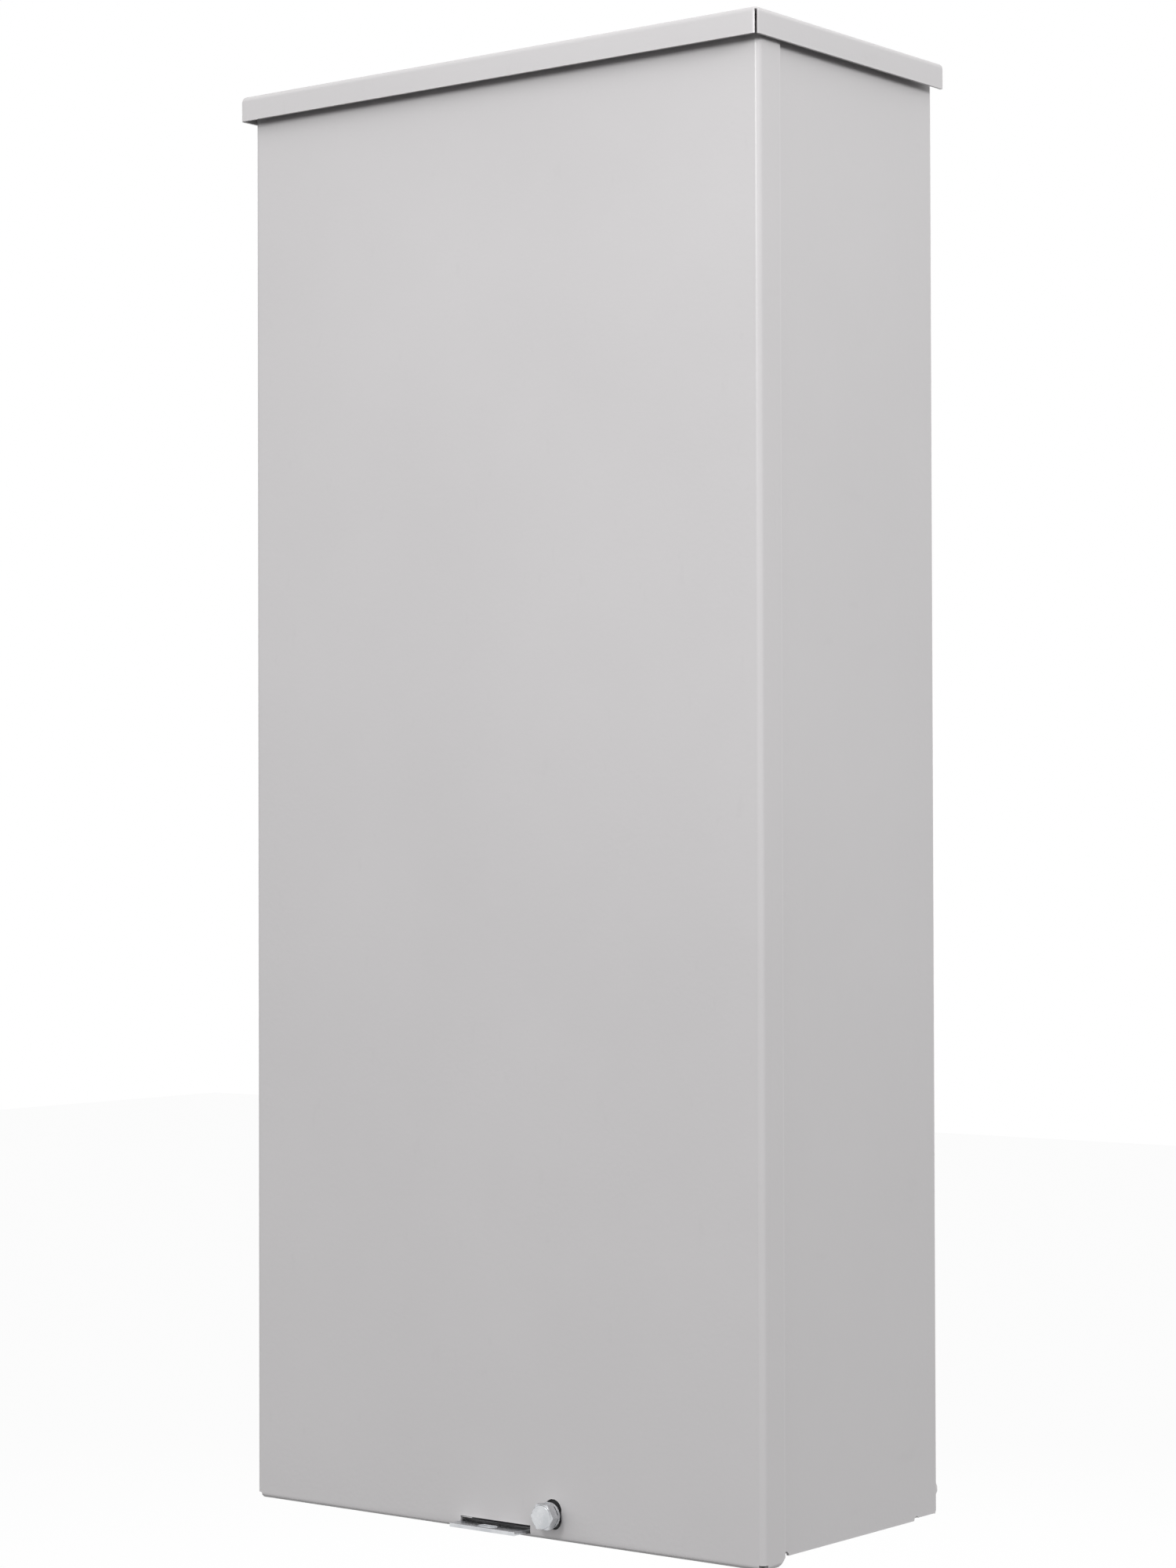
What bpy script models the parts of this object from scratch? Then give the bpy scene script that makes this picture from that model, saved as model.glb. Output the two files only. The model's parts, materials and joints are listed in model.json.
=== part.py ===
"""Outdoor automatic transfer switch of a home standby generator, as an assembly of separate pieces.

Metres, +Z up. The front cover faces -Y and the wall is the plane Y = 0. The world origin is the centre
of the four wall fixing holes. Inside this file a height is measured from the cover's lower edge, and
the empty called "assembly" drops everything so that the origin comes out at the fixing holes.
"""

import math

import bmesh
import bpy
from mathutils import Matrix, Vector

# ---------------------------------------------------------------- driving dimensions
SHEET = 0.0015  # painted steel sheet
SEAT = 0.0003  # gap between two pieces that touch
BEND = 0.003  # outside bend radius of the sheet

CASE_WIDTH = 0.331
CASE_DEPTH = 0.160
CASE_BOTTOM = 0.0042  # the cover hangs this far below the case
OVERALL_HEIGHT = 0.7643
PAD_DEPTH = 0.005  # embossed wall pads
RETURN_WIDTH = 0.014  # inward lips at the front of the side walls
FRONT_NOTCH = 0.020  # relief notches in the lower edge of the side walls
REAR_NOTCH = 0.021

COVER_GAP = 0.001  # cover to case, in front and at the sides
COVER_FLANGE = 0.018
COVER_TOP_OVERLAP = 0.008  # how far the cover reaches up behind the lip of the cap

CAP_LIP = 0.0135
CAP_FRONT_GAP = 0.0065
CAP_SIDE_GAP = 0.0025
CAP_SLIT = 0.0013

FIXING_SPACING_X = 0.2667
FIXING_SPACING_Z = 0.6794
FIXING_ABOVE_CASE_BOTTOM = 0.0125
FIXING_HOLE_RADIUS = 0.004
PAD_RADIUS = 0.007
PAD_SLOPE = 0.0012
LOW_PAD_OUTER_END = 0.1632  # where a pad ends near the side wall
HIGH_PAD_OUTER_END = 0.1575
PAD_INNER_END = 0.1170

BOSS_HEIGHT = 0.010  # inward bosses that carry the mounting panel
BOSS_RADIUS = 0.008
PANEL_SHEET = 0.002
PANEL_WIDTH = 0.300
PANEL_LOW = 0.045
PANEL_HIGH = 0.735
PANEL_FIXING_X = 0.138
PANEL_FIXING_INSET = 0.018

SCREW_X = 0.037
SCREW_HEIGHT = 0.0135
SCREW_RADIUS = 0.00395
SCREW_FLATS = 0.0127
SCREW_HEAD = 0.0056
HEAD_CHAMFER = 0.0009
WASHER_RADIUS = 0.0068
WASHER_THICK = 0.0014
WASHER_OFF_COVER = 0.0028  # the shoulder holds the head this far off the cover
SHOULDER_RADIUS = 0.0049
NUT_FLATS = 0.0127
NUT_THICK = 0.006
THREAD_GAP = 0.0005
RETAINER_RADIUS = 0.009
RETAINER_THICK = 0.001
COVER_SLOT_WIDTH = 0.0112
COVER_SLOT_HEIGHT = 0.0158

HASP_WIDTH = 0.043
HASP_THICK = 0.002
HASP_REACH = 0.0098
HASP_TAIL = 0.030  # how far the tab runs back under the case
HASP_SHIFT = -0.002
HASP_HOLE_RADIUS = 0.0032
HASP_HOLE_LENGTH = 0.012
HASP_HOLE_AHEAD = 0.0050  # from the cover's face to the middle of the padlock hole
HASP_SLOT_WIDTH = 0.0464
HASP_SLOT_SHIFT = -0.0009
HASP_SLOT_LOW = 0.0016
HASP_SLOT_HIGH = 0.0063

POLE_X = 0.036  # half the distance between the two poles
BREAKER_WIDTH = 0.116
BREAKER_DEPTH = 0.055
BREAKER_LOW = 0.535
BREAKER_HIGH = 0.690
FACE_DEPTH = 0.0174
FACE_HALF_HEIGHT = 0.0405
ESCUTCHEON = (0.030, 0.0065, 0.0225)  # half width, rise, half height
TOGGLE_SLOT = (0.012, 0.0185)  # half width, half height
TOGGLE_RADIUS = 0.010
TOGGLE_REACH = 0.030
TOGGLE_ANGLE = math.radians(25)
LUG = (0.028, 0.030, 0.030)
LUG_BORE = 0.0075

AXIS_HEIGHT = 0.385  # pivot of the transfer shaft
AXIS_OFF_PANEL = 0.033
SHAFT_RADIUS = 0.008
THROW_ANGLE = math.radians(30)  # either side of straight ahead
BLADE_REACH = 0.052
BLADE_WIDTH = 0.012
BLADE_THICK = 0.004
BLADE_GAP = 0.0005
HUB_RADIUS = 0.0115
STRAP_THICK = 0.003
STRAP_WIDTH = 0.018
EAR_THICK = 0.0025
BRIDGE_OFFSET = 0.040
CHEEK_INNER = 0.052
CHEEK_THICK = 0.006
BASE_THICK = 0.0084
BASE_LOW = 0.300
BASE_HIGH = 0.470
STRAP_OFF_PANEL = 0.018

ARM_REACH = 0.030
PIN_RADIUS = 0.002
PLUNGER_RADIUS = 0.004
YOKE = (0.0055, 0.010, 0.007)  # half sizes
COIL_RADIUS = 0.015
COIL_LENGTH = 0.045
COIL_OFFSET = 0.034  # shaft axis to the near end of a coil
COIL_FRAME_SHEET = 0.002

HANDLE_X = -0.061
HANDLE_REACH = 0.075
GRIP_LENGTH = 0.036

GUARD_WALL = 0.002
GUARD_LOW = 0.325
GUARD_HIGH = 0.445

DEAD_FRONT_LOW = 0.500
DEAD_FRONT_HIGH = 0.706
DEAD_FRONT_HALF = 0.120
FOOT_WIDTH = 0.020

# ---------------------------------------------------------------- planes worked out from them
CASE_BACK = -PAD_DEPTH
CASE_BACK_INNER = CASE_BACK - SHEET
CASE_FRONT = CASE_BACK - CASE_DEPTH
COVER_INNER = CASE_FRONT - COVER_GAP
COVER_OUTER = COVER_INNER - SHEET
CAP_FRONT = COVER_OUTER - CAP_FRONT_GAP - SHEET
HALF_CASE = CASE_WIDTH / 2
HALF_COVER = HALF_CASE + COVER_GAP + SHEET
HALF_CAP = HALF_COVER + CAP_SIDE_GAP + SHEET
CAP_LIP_BOTTOM = OVERALL_HEIGHT - CAP_LIP
COVER_TOP = CAP_LIP_BOTTOM + COVER_TOP_OVERLAP
CASE_TOP = OVERALL_HEIGHT - SHEET - SEAT
TRAY_FRONT = CASE_FRONT + SHEET + SEAT
FIXING_LOW = CASE_BOTTOM + FIXING_ABOVE_CASE_BOTTOM
FIXING_CENTRE = FIXING_LOW + FIXING_SPACING_Z / 2

PANEL_BACK = CASE_BACK_INNER - BOSS_HEIGHT - SEAT
PANEL_FRONT = PANEL_BACK - PANEL_SHEET
DEVICE_BACK = PANEL_FRONT - SEAT
BREAKER_FRONT = DEVICE_BACK - BREAKER_DEPTH
BREAKER_MIDDLE = (BREAKER_LOW + BREAKER_HIGH) / 2
FACE_BACK = BREAKER_FRONT - SEAT
FACE_FRONT = FACE_BACK - FACE_DEPTH
DEAD_FRONT_INNER = FACE_FRONT - 0.0025
AXIS_Y = PANEL_FRONT - AXIS_OFF_PANEL
STRAP_Y = PANEL_FRONT - STRAP_OFF_PANEL - STRAP_THICK / 2
BASE_FRONT = DEVICE_BACK - BASE_THICK
PLUNGER_Y = AXIS_Y - ARM_REACH * (1 + math.cos(THROW_ANGLE)) / 2
YOKE_REST = AXIS_HEIGHT + ARM_REACH * math.sin(THROW_ANGLE)
BORE_RADIUS = SHAFT_RADIUS + SEAT
TIP_Y = AXIS_Y - BLADE_REACH
CHEEK_FRONT = AXIS_Y - 0.012

# ---------------------------------------------------------------- scene, collections and materials
for leftover in list(bpy.data.objects):
    bpy.data.objects.remove(leftover)

parts = bpy.data.collections.new("transfer_switch")
helpers = bpy.data.collections.new("cutters")
for collection in (parts, helpers):
    bpy.context.scene.collection.children.link(collection)

assembly = bpy.data.objects.new("assembly", None)
assembly.location.z = -FIXING_CENTRE
parts.objects.link(assembly)


def material(name, colour, roughness, metallic=0.0):
    made = bpy.data.materials.new(name)
    made.use_nodes = True
    shader = made.node_tree.nodes["Principled BSDF"]
    shader.inputs["Base Color"].default_value = (*colour, 1.0)
    shader.inputs["Roughness"].default_value = roughness
    shader.inputs["Metallic"].default_value = metallic
    return made


PAINT = material("light_grey_paint", (0.55, 0.54, 0.545), 0.45)
ZINC = material("zinc_plate", (0.72, 0.73, 0.74), 0.3, 1.0)
GALVANISED = material("galvanised_sheet", (0.55, 0.57, 0.58), 0.4, 1.0)
COPPER = material("copper", (0.80, 0.42, 0.27), 0.3, 1.0)
ALUMINIUM = material("aluminium", (0.78, 0.79, 0.80), 0.35, 1.0)
BLACK = material("black_moulding", (0.03, 0.03, 0.032), 0.5)
BROWN = material("brown_phenolic", (0.10, 0.045, 0.03), 0.5)
WHITE = material("white_plastic", (0.75, 0.74, 0.70), 0.5)
CLEAR = material("clear_guard", (0.75, 0.80, 0.82), 0.1)
GREEN = material("circuit_board", (0.02, 0.16, 0.07), 0.4)
BLUE = material("relay_blue", (0.05, 0.16, 0.42), 0.4)
RED = material("red_grip", (0.55, 0.04, 0.03), 0.45)
COIL = material("coil_tape", (0.55, 0.38, 0.10), 0.5)
GLASS = material("fuse_tube", (0.72, 0.70, 0.62), 0.4)


# ---------------------------------------------------------------- shape tools
def place(obj, paint, collection=parts):
    """Puts an object in the assembly, in the coordinates of this file."""
    collection.objects.link(obj)
    obj.parent = assembly
    if paint is None:
        obj.hide_render = True
        obj.display_type = "WIRE"
    else:
        obj.data.materials.append(paint)
    return obj


def made_from(shape, name, paint, location=(0, 0, 0)):
    mesh = bpy.data.meshes.new(name)
    shape.to_mesh(mesh)
    shape.free()
    obj = bpy.data.objects.new(name, mesh)
    obj.location = location
    return place(obj, paint, helpers if paint is None else parts)


def block(name, low, high, paint=None):
    """A box between two opposite corners."""
    low, high = Vector(low), Vector(high)
    shape = bmesh.new()
    bmesh.ops.create_cube(shape, size=1.0)
    bmesh.ops.scale(shape, vec=high - low, verts=shape.verts)
    return made_from(shape, name, paint, (low + high) / 2)


def rod(name, start, end, radius, paint=None, end_radius=None, sides=16, turn=0.0):
    """A cylinder or cone between two points. Six sides and a turn make a hexagon."""
    start, end = Vector(start), Vector(end)
    along = end - start
    shape = bmesh.new()
    bmesh.ops.create_cone(
        shape,
        cap_ends=True,
        segments=sides,
        radius1=radius,
        radius2=radius if end_radius is None else end_radius,
        depth=along.length,
        matrix=Matrix.Rotation(turn, 4, "Z"),
    )
    bmesh.ops.rotate(shape, matrix=along.to_track_quat("Z", "Y").to_matrix(), verts=shape.verts)
    obj = made_from(shape, name, paint, (start + end) / 2)
    if sides > 8:
        obj.data.shade_smooth()
        obj.data.set_sharp_from_angle(angle=math.radians(35))
    return obj


def stretched(obj, half_length):
    """Pulls a round piece apart along X, so that it becomes a slot shape."""
    for vertex in obj.data.vertices:
        vertex.co.x += math.copysign(half_length, vertex.co.x)
    return obj


def cut(target, *cutters, operation="DIFFERENCE"):
    for cutter in cutters:
        boolean = target.modifiers.new(cutter.name, "BOOLEAN")
        boolean.operation = operation
        boolean.object = cutter
    return target


def join(target, *others):
    return cut(target, *others, operation="UNION")


def rounded(points, radius, steps=3):
    """The corners of an open path as arcs."""
    points = [Vector(p) for p in points]
    path = [points[0]]
    for before, corner, after in zip(points, points[1:], points[2:]):
        back, ahead = (before - corner).normalized(), (after - corner).normalized()
        half = back.angle(ahead) / 2
        centre = corner + (back + ahead).normalized() * radius / math.sin(half)
        first = corner + back * radius / math.tan(half) - centre
        turn = first.angle_signed(corner + ahead * radius / math.tan(half) - centre)
        for step in range(steps + 1):
            share = -turn * step / steps
            cos, sin = math.cos(share), math.sin(share)
            path.append(centre + Vector((first.x * cos - first.y * sin, first.x * sin + first.y * cos)))
    return path + [points[-1]]


def bent_strip(name, path, start, end, axis, thickness, paint, offset):
    """Sheet bent along a 2D path. A Z strip takes (x, y) points and an X strip takes (y, height) points."""
    shape = bmesh.new()
    if axis == "Z":
        row = [shape.verts.new((p.x, p.y, start)) for p in path]
        step = Vector((0, 0, end - start))
    else:
        row = [shape.verts.new((start, p.x, p.y)) for p in path]
        step = Vector((end - start, 0, 0))
    edges = [shape.edges.new(pair) for pair in zip(row, row[1:])]
    pulled = bmesh.ops.extrude_edge_only(shape, edges=edges)["geom"]
    bmesh.ops.translate(shape, vec=step, verts=[g for g in pulled if isinstance(g, bmesh.types.BMVert)])
    obj = made_from(shape, name, paint)
    solidify = obj.modifiers.new("thickness", "SOLIDIFY")
    solidify.thickness = thickness
    solidify.offset = offset
    solidify.use_even_offset = True
    return obj


def pan(name, low, high, open_sides, paint, bend=BEND):
    """A folded tray: a box with some sides missing, its outside bends rounded, and the sheet inside."""
    low, high = Vector(low), Vector(high)
    shape = bmesh.new()
    bmesh.ops.create_cube(shape, size=1.0)
    bmesh.ops.scale(shape, vec=high - low, verts=shape.verts)
    shape.normal_update()
    gone = [f for f in shape.faces if any(f.normal.dot(Vector(side)) > 0.9 for side in open_sides)]
    bmesh.ops.delete(shape, geom=gone, context="FACES")
    bends = [e for e in shape.edges if len(e.link_faces) == 2]
    bmesh.ops.bevel(shape, geom=bends, offset=bend, segments=3, profile=0.5, affect="EDGES")
    obj = made_from(shape, name, paint, (low + high) / 2)
    solidify = obj.modifiers.new("thickness", "SOLIDIFY")
    solidify.thickness = SHEET
    solidify.offset = -1
    solidify.use_even_offset = True
    return obj


def ring_groove(name, radius, centre, depth=0.0006):
    """A torus cutter, lying flat, that scores a knockout."""
    bpy.ops.mesh.primitive_torus_add(
        major_radius=radius, minor_radius=depth, major_segments=24, minor_segments=4, location=centre
    )
    obj = bpy.context.object
    obj.name = name
    bpy.context.collection.objects.unlink(obj)
    return place(obj, None, helpers)


def flat_plate(name, outline, plane_x, thickness, paint=None):
    """A flat plate across X, from a 2D outline of (y, height) points."""
    curve = bpy.data.curves.new(name, "CURVE")
    curve.dimensions = "2D"
    curve.fill_mode = "BOTH"
    curve.extrude = thickness / 2
    spline = curve.splines.new("POLY")
    spline.points.add(len(outline) - 1)
    for point, (y, height) in zip(spline.points, outline):
        point.co = (y, height, 0, 1)
    spline.use_cyclic_u = True
    drawn = bpy.data.objects.new(name, curve)
    bpy.context.scene.collection.objects.link(drawn)
    bpy.context.view_layer.update()
    mesh = bpy.data.meshes.new_from_object(drawn.evaluated_get(bpy.context.evaluated_depsgraph_get()))
    bpy.data.objects.remove(drawn)
    shape = bmesh.new()
    shape.from_mesh(mesh)
    bmesh.ops.remove_doubles(shape, verts=shape.verts, dist=0.00001)
    bmesh.ops.transform(
        shape, matrix=Matrix(((0, 0, 1, 0), (1, 0, 0, 0), (0, 1, 0, 0), (0, 0, 0, 1))), verts=shape.verts
    )
    bmesh.ops.recalc_face_normals(shape, faces=shape.faces)
    return made_from(shape, name, paint, (plane_x, 0, 0))


def pivot(name, location):
    """An empty on a joint's axis."""
    empty = bpy.data.objects.new(name, None)
    empty.location = location
    parts.objects.link(empty)
    empty.parent = assembly
    return empty


def ride(empty, *pieces):
    for piece in pieces:
        piece.parent = empty
        piece.matrix_parent_inverse = Matrix.Translation(-empty.location)


def swung(distance, angle, across=0.0):
    """(y, height) of a point on a lever of the transfer shaft: straight ahead is -Y, angles go up."""
    y = -distance * math.cos(angle) + across * math.sin(angle)
    height = distance * math.sin(angle) + across * math.cos(angle)
    return AXIS_Y + y, AXIS_HEIGHT + height


def lever_outline(reach, hub, half_width, angle, steps=8):
    """A round hub with a straight arm, as (y, height) points about the transfer shaft."""
    start = math.asin(half_width / hub)
    outline = [swung(reach, angle, -half_width), swung(reach, angle, half_width)]
    for step in range(steps + 1):
        turn = start + (2 * math.pi - 2 * start) * step / steps
        outline.append(swung(hub * math.cos(turn), angle, hub * math.sin(turn)))
    return outline


# ---------------------------------------------------------------- enclosure
def enclosure_wrap():
    """Back and both sides from one sheet, with front returns, wall pads and panel bosses."""
    inner_return = HALF_CASE - RETURN_WIDTH
    corners = [
        (-inner_return, CASE_FRONT),
        (-HALF_CASE, CASE_FRONT),
        (-HALF_CASE, CASE_BACK),
        (HALF_CASE, CASE_BACK),
        (HALF_CASE, CASE_FRONT),
        (inner_return, CASE_FRONT),
    ]
    wrap = bent_strip(
        "enclosure_wrap", rounded(corners, BEND), CASE_BOTTOM, CASE_TOP, "Z", SHEET, PAINT, offset=-1
    )
    for height, outer_end in (
        (FIXING_LOW, LOW_PAD_OUTER_END), (FIXING_LOW + FIXING_SPACING_Z, HIGH_PAD_OUTER_END)
    ):
        middle = (outer_end + PAD_INNER_END) / 2
        half = (outer_end - PAD_INNER_END) / 2 - PAD_RADIUS
        for side in (-1, 1):
            x = side * middle
            pad = rod(
                "pad_outside",
                (x, CASE_BACK - SHEET / 2, height),
                (x, 0, height),
                PAD_RADIUS,
                end_radius=PAD_RADIUS - PAD_SLOPE,
                turn=math.pi / 16,
            )
            dish = rod(
                "pad_inside",
                (x, CASE_BACK_INNER - SHEET, height),
                (x, -SHEET, height),
                PAD_RADIUS - SHEET / 2,
                end_radius=PAD_RADIUS - PAD_SLOPE - SHEET,
                turn=math.pi / 16,
            )
            hole_x = side * FIXING_SPACING_X / 2
            hole = rod(
                "fixing_hole", (hole_x, CASE_BACK, height), (hole_x, SHEET, height), FIXING_HOLE_RADIUS
            )
            join(wrap, stretched(pad, half))
            cut(wrap, stretched(dish, half), hole)
    for height in (PANEL_LOW + PANEL_FIXING_INSET, PANEL_HIGH - PANEL_FIXING_INSET):
        for x in (-PANEL_FIXING_X, PANEL_FIXING_X):
            top = (x, CASE_BACK_INNER - BOSS_HEIGHT, height)
            boss = rod(
                "panel_boss", (x, CASE_BACK_INNER + SHEET / 2, height), top, BOSS_RADIUS, end_radius=0.0055
            )
            join(wrap, boss)
            cut(wrap, rod("pilot_hole", (x, SHEET, height), (x, top[1] - SHEET, height), 0.0023, sides=8))
    for side in (-1, 1):
        outer, inner = side * (HALF_CASE + SHEET), side * (HALF_CASE - 2 * SHEET)
        for y in (CASE_FRONT + FRONT_NOTCH, CASE_BACK - REAR_NOTCH):
            cut(wrap, rod("relief_notch", (outer, y, CASE_BOTTOM), (inner, y, CASE_BOTTOM), 0.0022, sides=12))
        near, far = sorted((outer, inner))
        step = block(
            "raised_edge",
            (near, CASE_BACK - REAR_NOTCH, CASE_BOTTOM - SHEET),
            (far, CASE_BACK - BEND, CASE_BOTTOM + 0.0012),
        )
        clip = block("corner_clip", (-0.008, -0.0028, -0.0028), (0.008, 0.0028, 0.0028))
        clip.location = (side * HALF_CASE, CASE_BACK, CASE_BOTTOM)
        clip.rotation_euler.x = math.radians(45)
        cut(wrap, step, clip)
    return wrap


def enclosure_trays():
    """The top and bottom plates, folded so that their flanges fit inside the wrap."""
    inside = HALF_CASE - SHEET - SEAT
    back = CASE_BACK_INNER - SEAT
    bottom = pan(
        "enclosure_bottom",
        (-inside, TRAY_FRONT, CASE_BOTTOM),
        (inside, back, CASE_BOTTOM + 0.038),
        [(0, 0, 1)],
        PAINT,
    )
    # Only the front flange of the bottom tray is tall: the nut of the cover screw sits behind it.
    clear = block(
        "low_flanges",
        (-HALF_CASE, TRAY_FRONT + 0.006, CASE_BOTTOM + 0.014),
        (HALF_CASE, 0, CASE_BOTTOM + 0.060),
    )
    hole = rod(
        "screw_passage",
        (SCREW_X, CASE_FRONT, SCREW_HEIGHT),
        (SCREW_X, TRAY_FRONT + 0.010, SCREW_HEIGHT),
        SCREW_RADIUS + 0.001,
    )
    # Behind the hasp slot the flange is notched, so that the tab can't be bent back against it.
    notch = block(
        "hasp_notch",
        (HASP_SLOT_SHIFT - HASP_SLOT_WIDTH / 2 - SHEET, CASE_FRONT, CASE_BOTTOM - SHEET),
        (HASP_SLOT_SHIFT + HASP_SLOT_WIDTH / 2 + SHEET, TRAY_FRONT + BEND + SEAT, CASE_BOTTOM + 0.012),
    )
    cut(bottom, clear, hole, notch)
    knockouts = [
        (0.090, 0.032), (0.090, 0.0255), (-0.010, 0.032), (-0.010, 0.0255), (-0.095, 0.0175), (-0.095, 0.014),
    ]
    for x, radius in knockouts:
        centre = (x, (CASE_FRONT + CASE_BACK) / 2, CASE_BOTTOM)
        cut(bottom, ring_groove("knockout_score", radius, centre))
    for x in (-0.140, 0.140):
        drain = rod("drain", (x, CASE_FRONT + 0.030, 0), (x, CASE_FRONT + 0.030, 0.010), 0.003, sides=12)
        cut(bottom, drain)
    top = pan(
        "enclosure_top",
        (-inside, TRAY_FRONT, CASE_TOP - 0.022),
        (inside, back, CASE_TOP),
        [(0, 0, -1)],
        PAINT,
    )
    return bottom, top


def rain_cap():
    """The roof: a tray turned down over the walls, with its two front corners left open."""
    cap = pan(
        "rain_cap",
        (-HALF_CAP, CAP_FRONT, CAP_LIP_BOTTOM),
        (HALF_CAP, CASE_BACK, OVERALL_HEIGHT),
        [(0, 0, -1), (0, 1, 0)],
        PAINT,
    )
    for side in (-1, 1):
        slit = block("corner_slit", (-CAP_SLIT / 2, -0.006, -CAP_LIP), (CAP_SLIT / 2, 0.006, CAP_LIP - BEND))
        slit.location = (side * (HALF_CAP - BEND), CAP_FRONT + BEND, CAP_LIP_BOTTOM)
        slit.rotation_euler.z = side * math.radians(45)
        cut(cap, slit)
    return cap


def front_cover():
    """Lift-off cover: a flat face with side and bottom flanges. Its plain top edge hooks behind the cap."""
    cover = pan(
        "front_cover",
        (-HALF_COVER, COVER_OUTER, 0),
        (HALF_COVER, COVER_OUTER + COVER_FLANGE, COVER_TOP),
        [(0, 1, 0), (0, 0, 1)],
        PAINT,
    )
    for side in (-1, 1):
        x, y = side * (HALF_COVER - SHEET), COVER_OUTER + SHEET
        cut(cover, rod("corner_relief", (x, y, -SHEET), (x, y, 2 * SHEET), 0.0024, sides=12))
        clip = block("flange_clip", (-0.004, -0.0033, -0.0033), (0.004, 0.0033, 0.0033))
        clip.location = (side * HALF_COVER, COVER_OUTER + COVER_FLANGE, 0)
        clip.rotation_euler.x = math.radians(45)
        cut(cover, clip)
    slot = block(
        "hasp_slot",
        (HASP_SLOT_SHIFT - HASP_SLOT_WIDTH / 2, COVER_OUTER - SHEET, HASP_SLOT_LOW),
        (HASP_SLOT_SHIFT + HASP_SLOT_WIDTH / 2, COVER_INNER + SHEET, HASP_SLOT_HIGH),
    )
    half = (COVER_SLOT_HEIGHT - COVER_SLOT_WIDTH) / 2
    screw_slot = rod(
        "screw_slot", (0, 0, -2 * SHEET), (0, 0, 2 * SHEET), COVER_SLOT_WIDTH / 2, turn=math.pi / 16
    )
    stretched(screw_slot, half)
    screw_slot.rotation_euler = (math.radians(90), math.radians(90), 0)
    screw_slot.location = (SCREW_X, (COVER_INNER + COVER_OUTER) / 2, SCREW_HEIGHT)
    cut(cover, slot, screw_slot)
    return cover


def cover_fastening():
    """Hex screw and washer on the cover, the nut behind the tray flange, and the padlock tab."""
    washer_front = COVER_OUTER - WASHER_OFF_COVER - WASHER_THICK
    head_back = washer_front - SEAT
    nut_front = TRAY_FRONT + SHEET + SEAT
    tip = nut_front + NUT_THICK + 0.0015

    def on_axis(y):
        return (SCREW_X, y, SCREW_HEIGHT)

    corner = SCREW_FLATS / math.sqrt(3)
    washer = rod(
        "screw_washer",
        on_axis(washer_front),
        on_axis(COVER_OUTER - WASHER_OFF_COVER),
        WASHER_RADIUS,
        ZINC,
        sides=24,
    )
    cut(
        washer,
        rod("washer_hole", on_axis(washer_front - SHEET), on_axis(COVER_OUTER), SHOULDER_RADIUS + SEAT),
    )
    head_front = head_back - SCREW_HEAD
    screw = rod(
        "cover_screw",
        on_axis(head_back),
        on_axis(head_front + HEAD_CHAMFER),
        corner,
        ZINC,
        sides=6,
        turn=math.pi / 6,
    )
    face = rod(
        "chamfered_face",
        on_axis(head_front + HEAD_CHAMFER + 0.0002),
        on_axis(head_front),
        SCREW_FLATS / 2 - 0.0001,
        end_radius=SCREW_FLATS / 2 - HEAD_CHAMFER / 2,
        sides=24,
    )
    shoulder = rod(
        "screw_shoulder",
        on_axis(head_back - 0.001),
        on_axis(COVER_INNER - 0.0004),
        SHOULDER_RADIUS,
        sides=20,
    )
    shank = rod("screw_shank", on_axis(head_back), on_axis(tip), SCREW_RADIUS)
    join(screw, face, shoulder, shank)
    ring_front = COVER_INNER + SEAT
    ring = rod(
        "screw_retainer",
        on_axis(ring_front),
        on_axis(ring_front + RETAINER_THICK),
        RETAINER_RADIUS,
        BLACK,
        sides=24,
    )
    cut(ring, rod("retainer_bore", on_axis(COVER_OUTER), on_axis(TRAY_FRONT), SCREW_RADIUS + SEAT))
    nut = rod(
        "screw_nut",
        on_axis(nut_front),
        on_axis(nut_front + NUT_THICK),
        NUT_FLATS / math.sqrt(3),
        ZINC,
        sides=6,
        turn=math.pi / 6,
    )
    passage = rod(
        "nut_bore", on_axis(nut_front - SHEET), on_axis(tip + SHEET), SCREW_RADIUS + THREAD_GAP
    )
    cut(nut, passage)

    left, right = HASP_SHIFT - HASP_WIDTH / 2, HASP_SHIFT + HASP_WIDTH / 2
    top = CASE_BOTTOM - SEAT
    hasp = block(
        "hasp_tab",
        (left, COVER_OUTER - HASP_REACH, top - HASP_THICK),
        (right, TRAY_FRONT + HASP_TAIL, top),
        ZINC,
    )
    hole_y = COVER_OUTER - HASP_HOLE_AHEAD
    eye = rod(
        "padlock_hole",
        (HASP_SHIFT, hole_y, 0),
        (HASP_SHIFT, hole_y, 0.010),
        HASP_HOLE_RADIUS,
        turn=math.pi / 16,
    )
    cut(hasp, stretched(eye, HASP_HOLE_LENGTH / 2 - HASP_HOLE_RADIUS))
    return washer, screw, ring


# ---------------------------------------------------------------- mounting panel
def hex_screw(name, x, seat_y, tip_y, height, shank=0.0020):
    """A hex washer head screw that enters along +Y."""
    head = rod(name, (x, seat_y, height), (x, seat_y - 0.0042, height), 0.0046, ZINC, sides=6)
    flange = rod("screw_flange", (x, seat_y, height), (x, seat_y - 0.0012, height), 0.0058, sides=12)
    body = rod("screw_body", (x, seat_y - 0.001, height), (x, tip_y, height), shank, sides=8)
    return join(head, flange, body)


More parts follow.
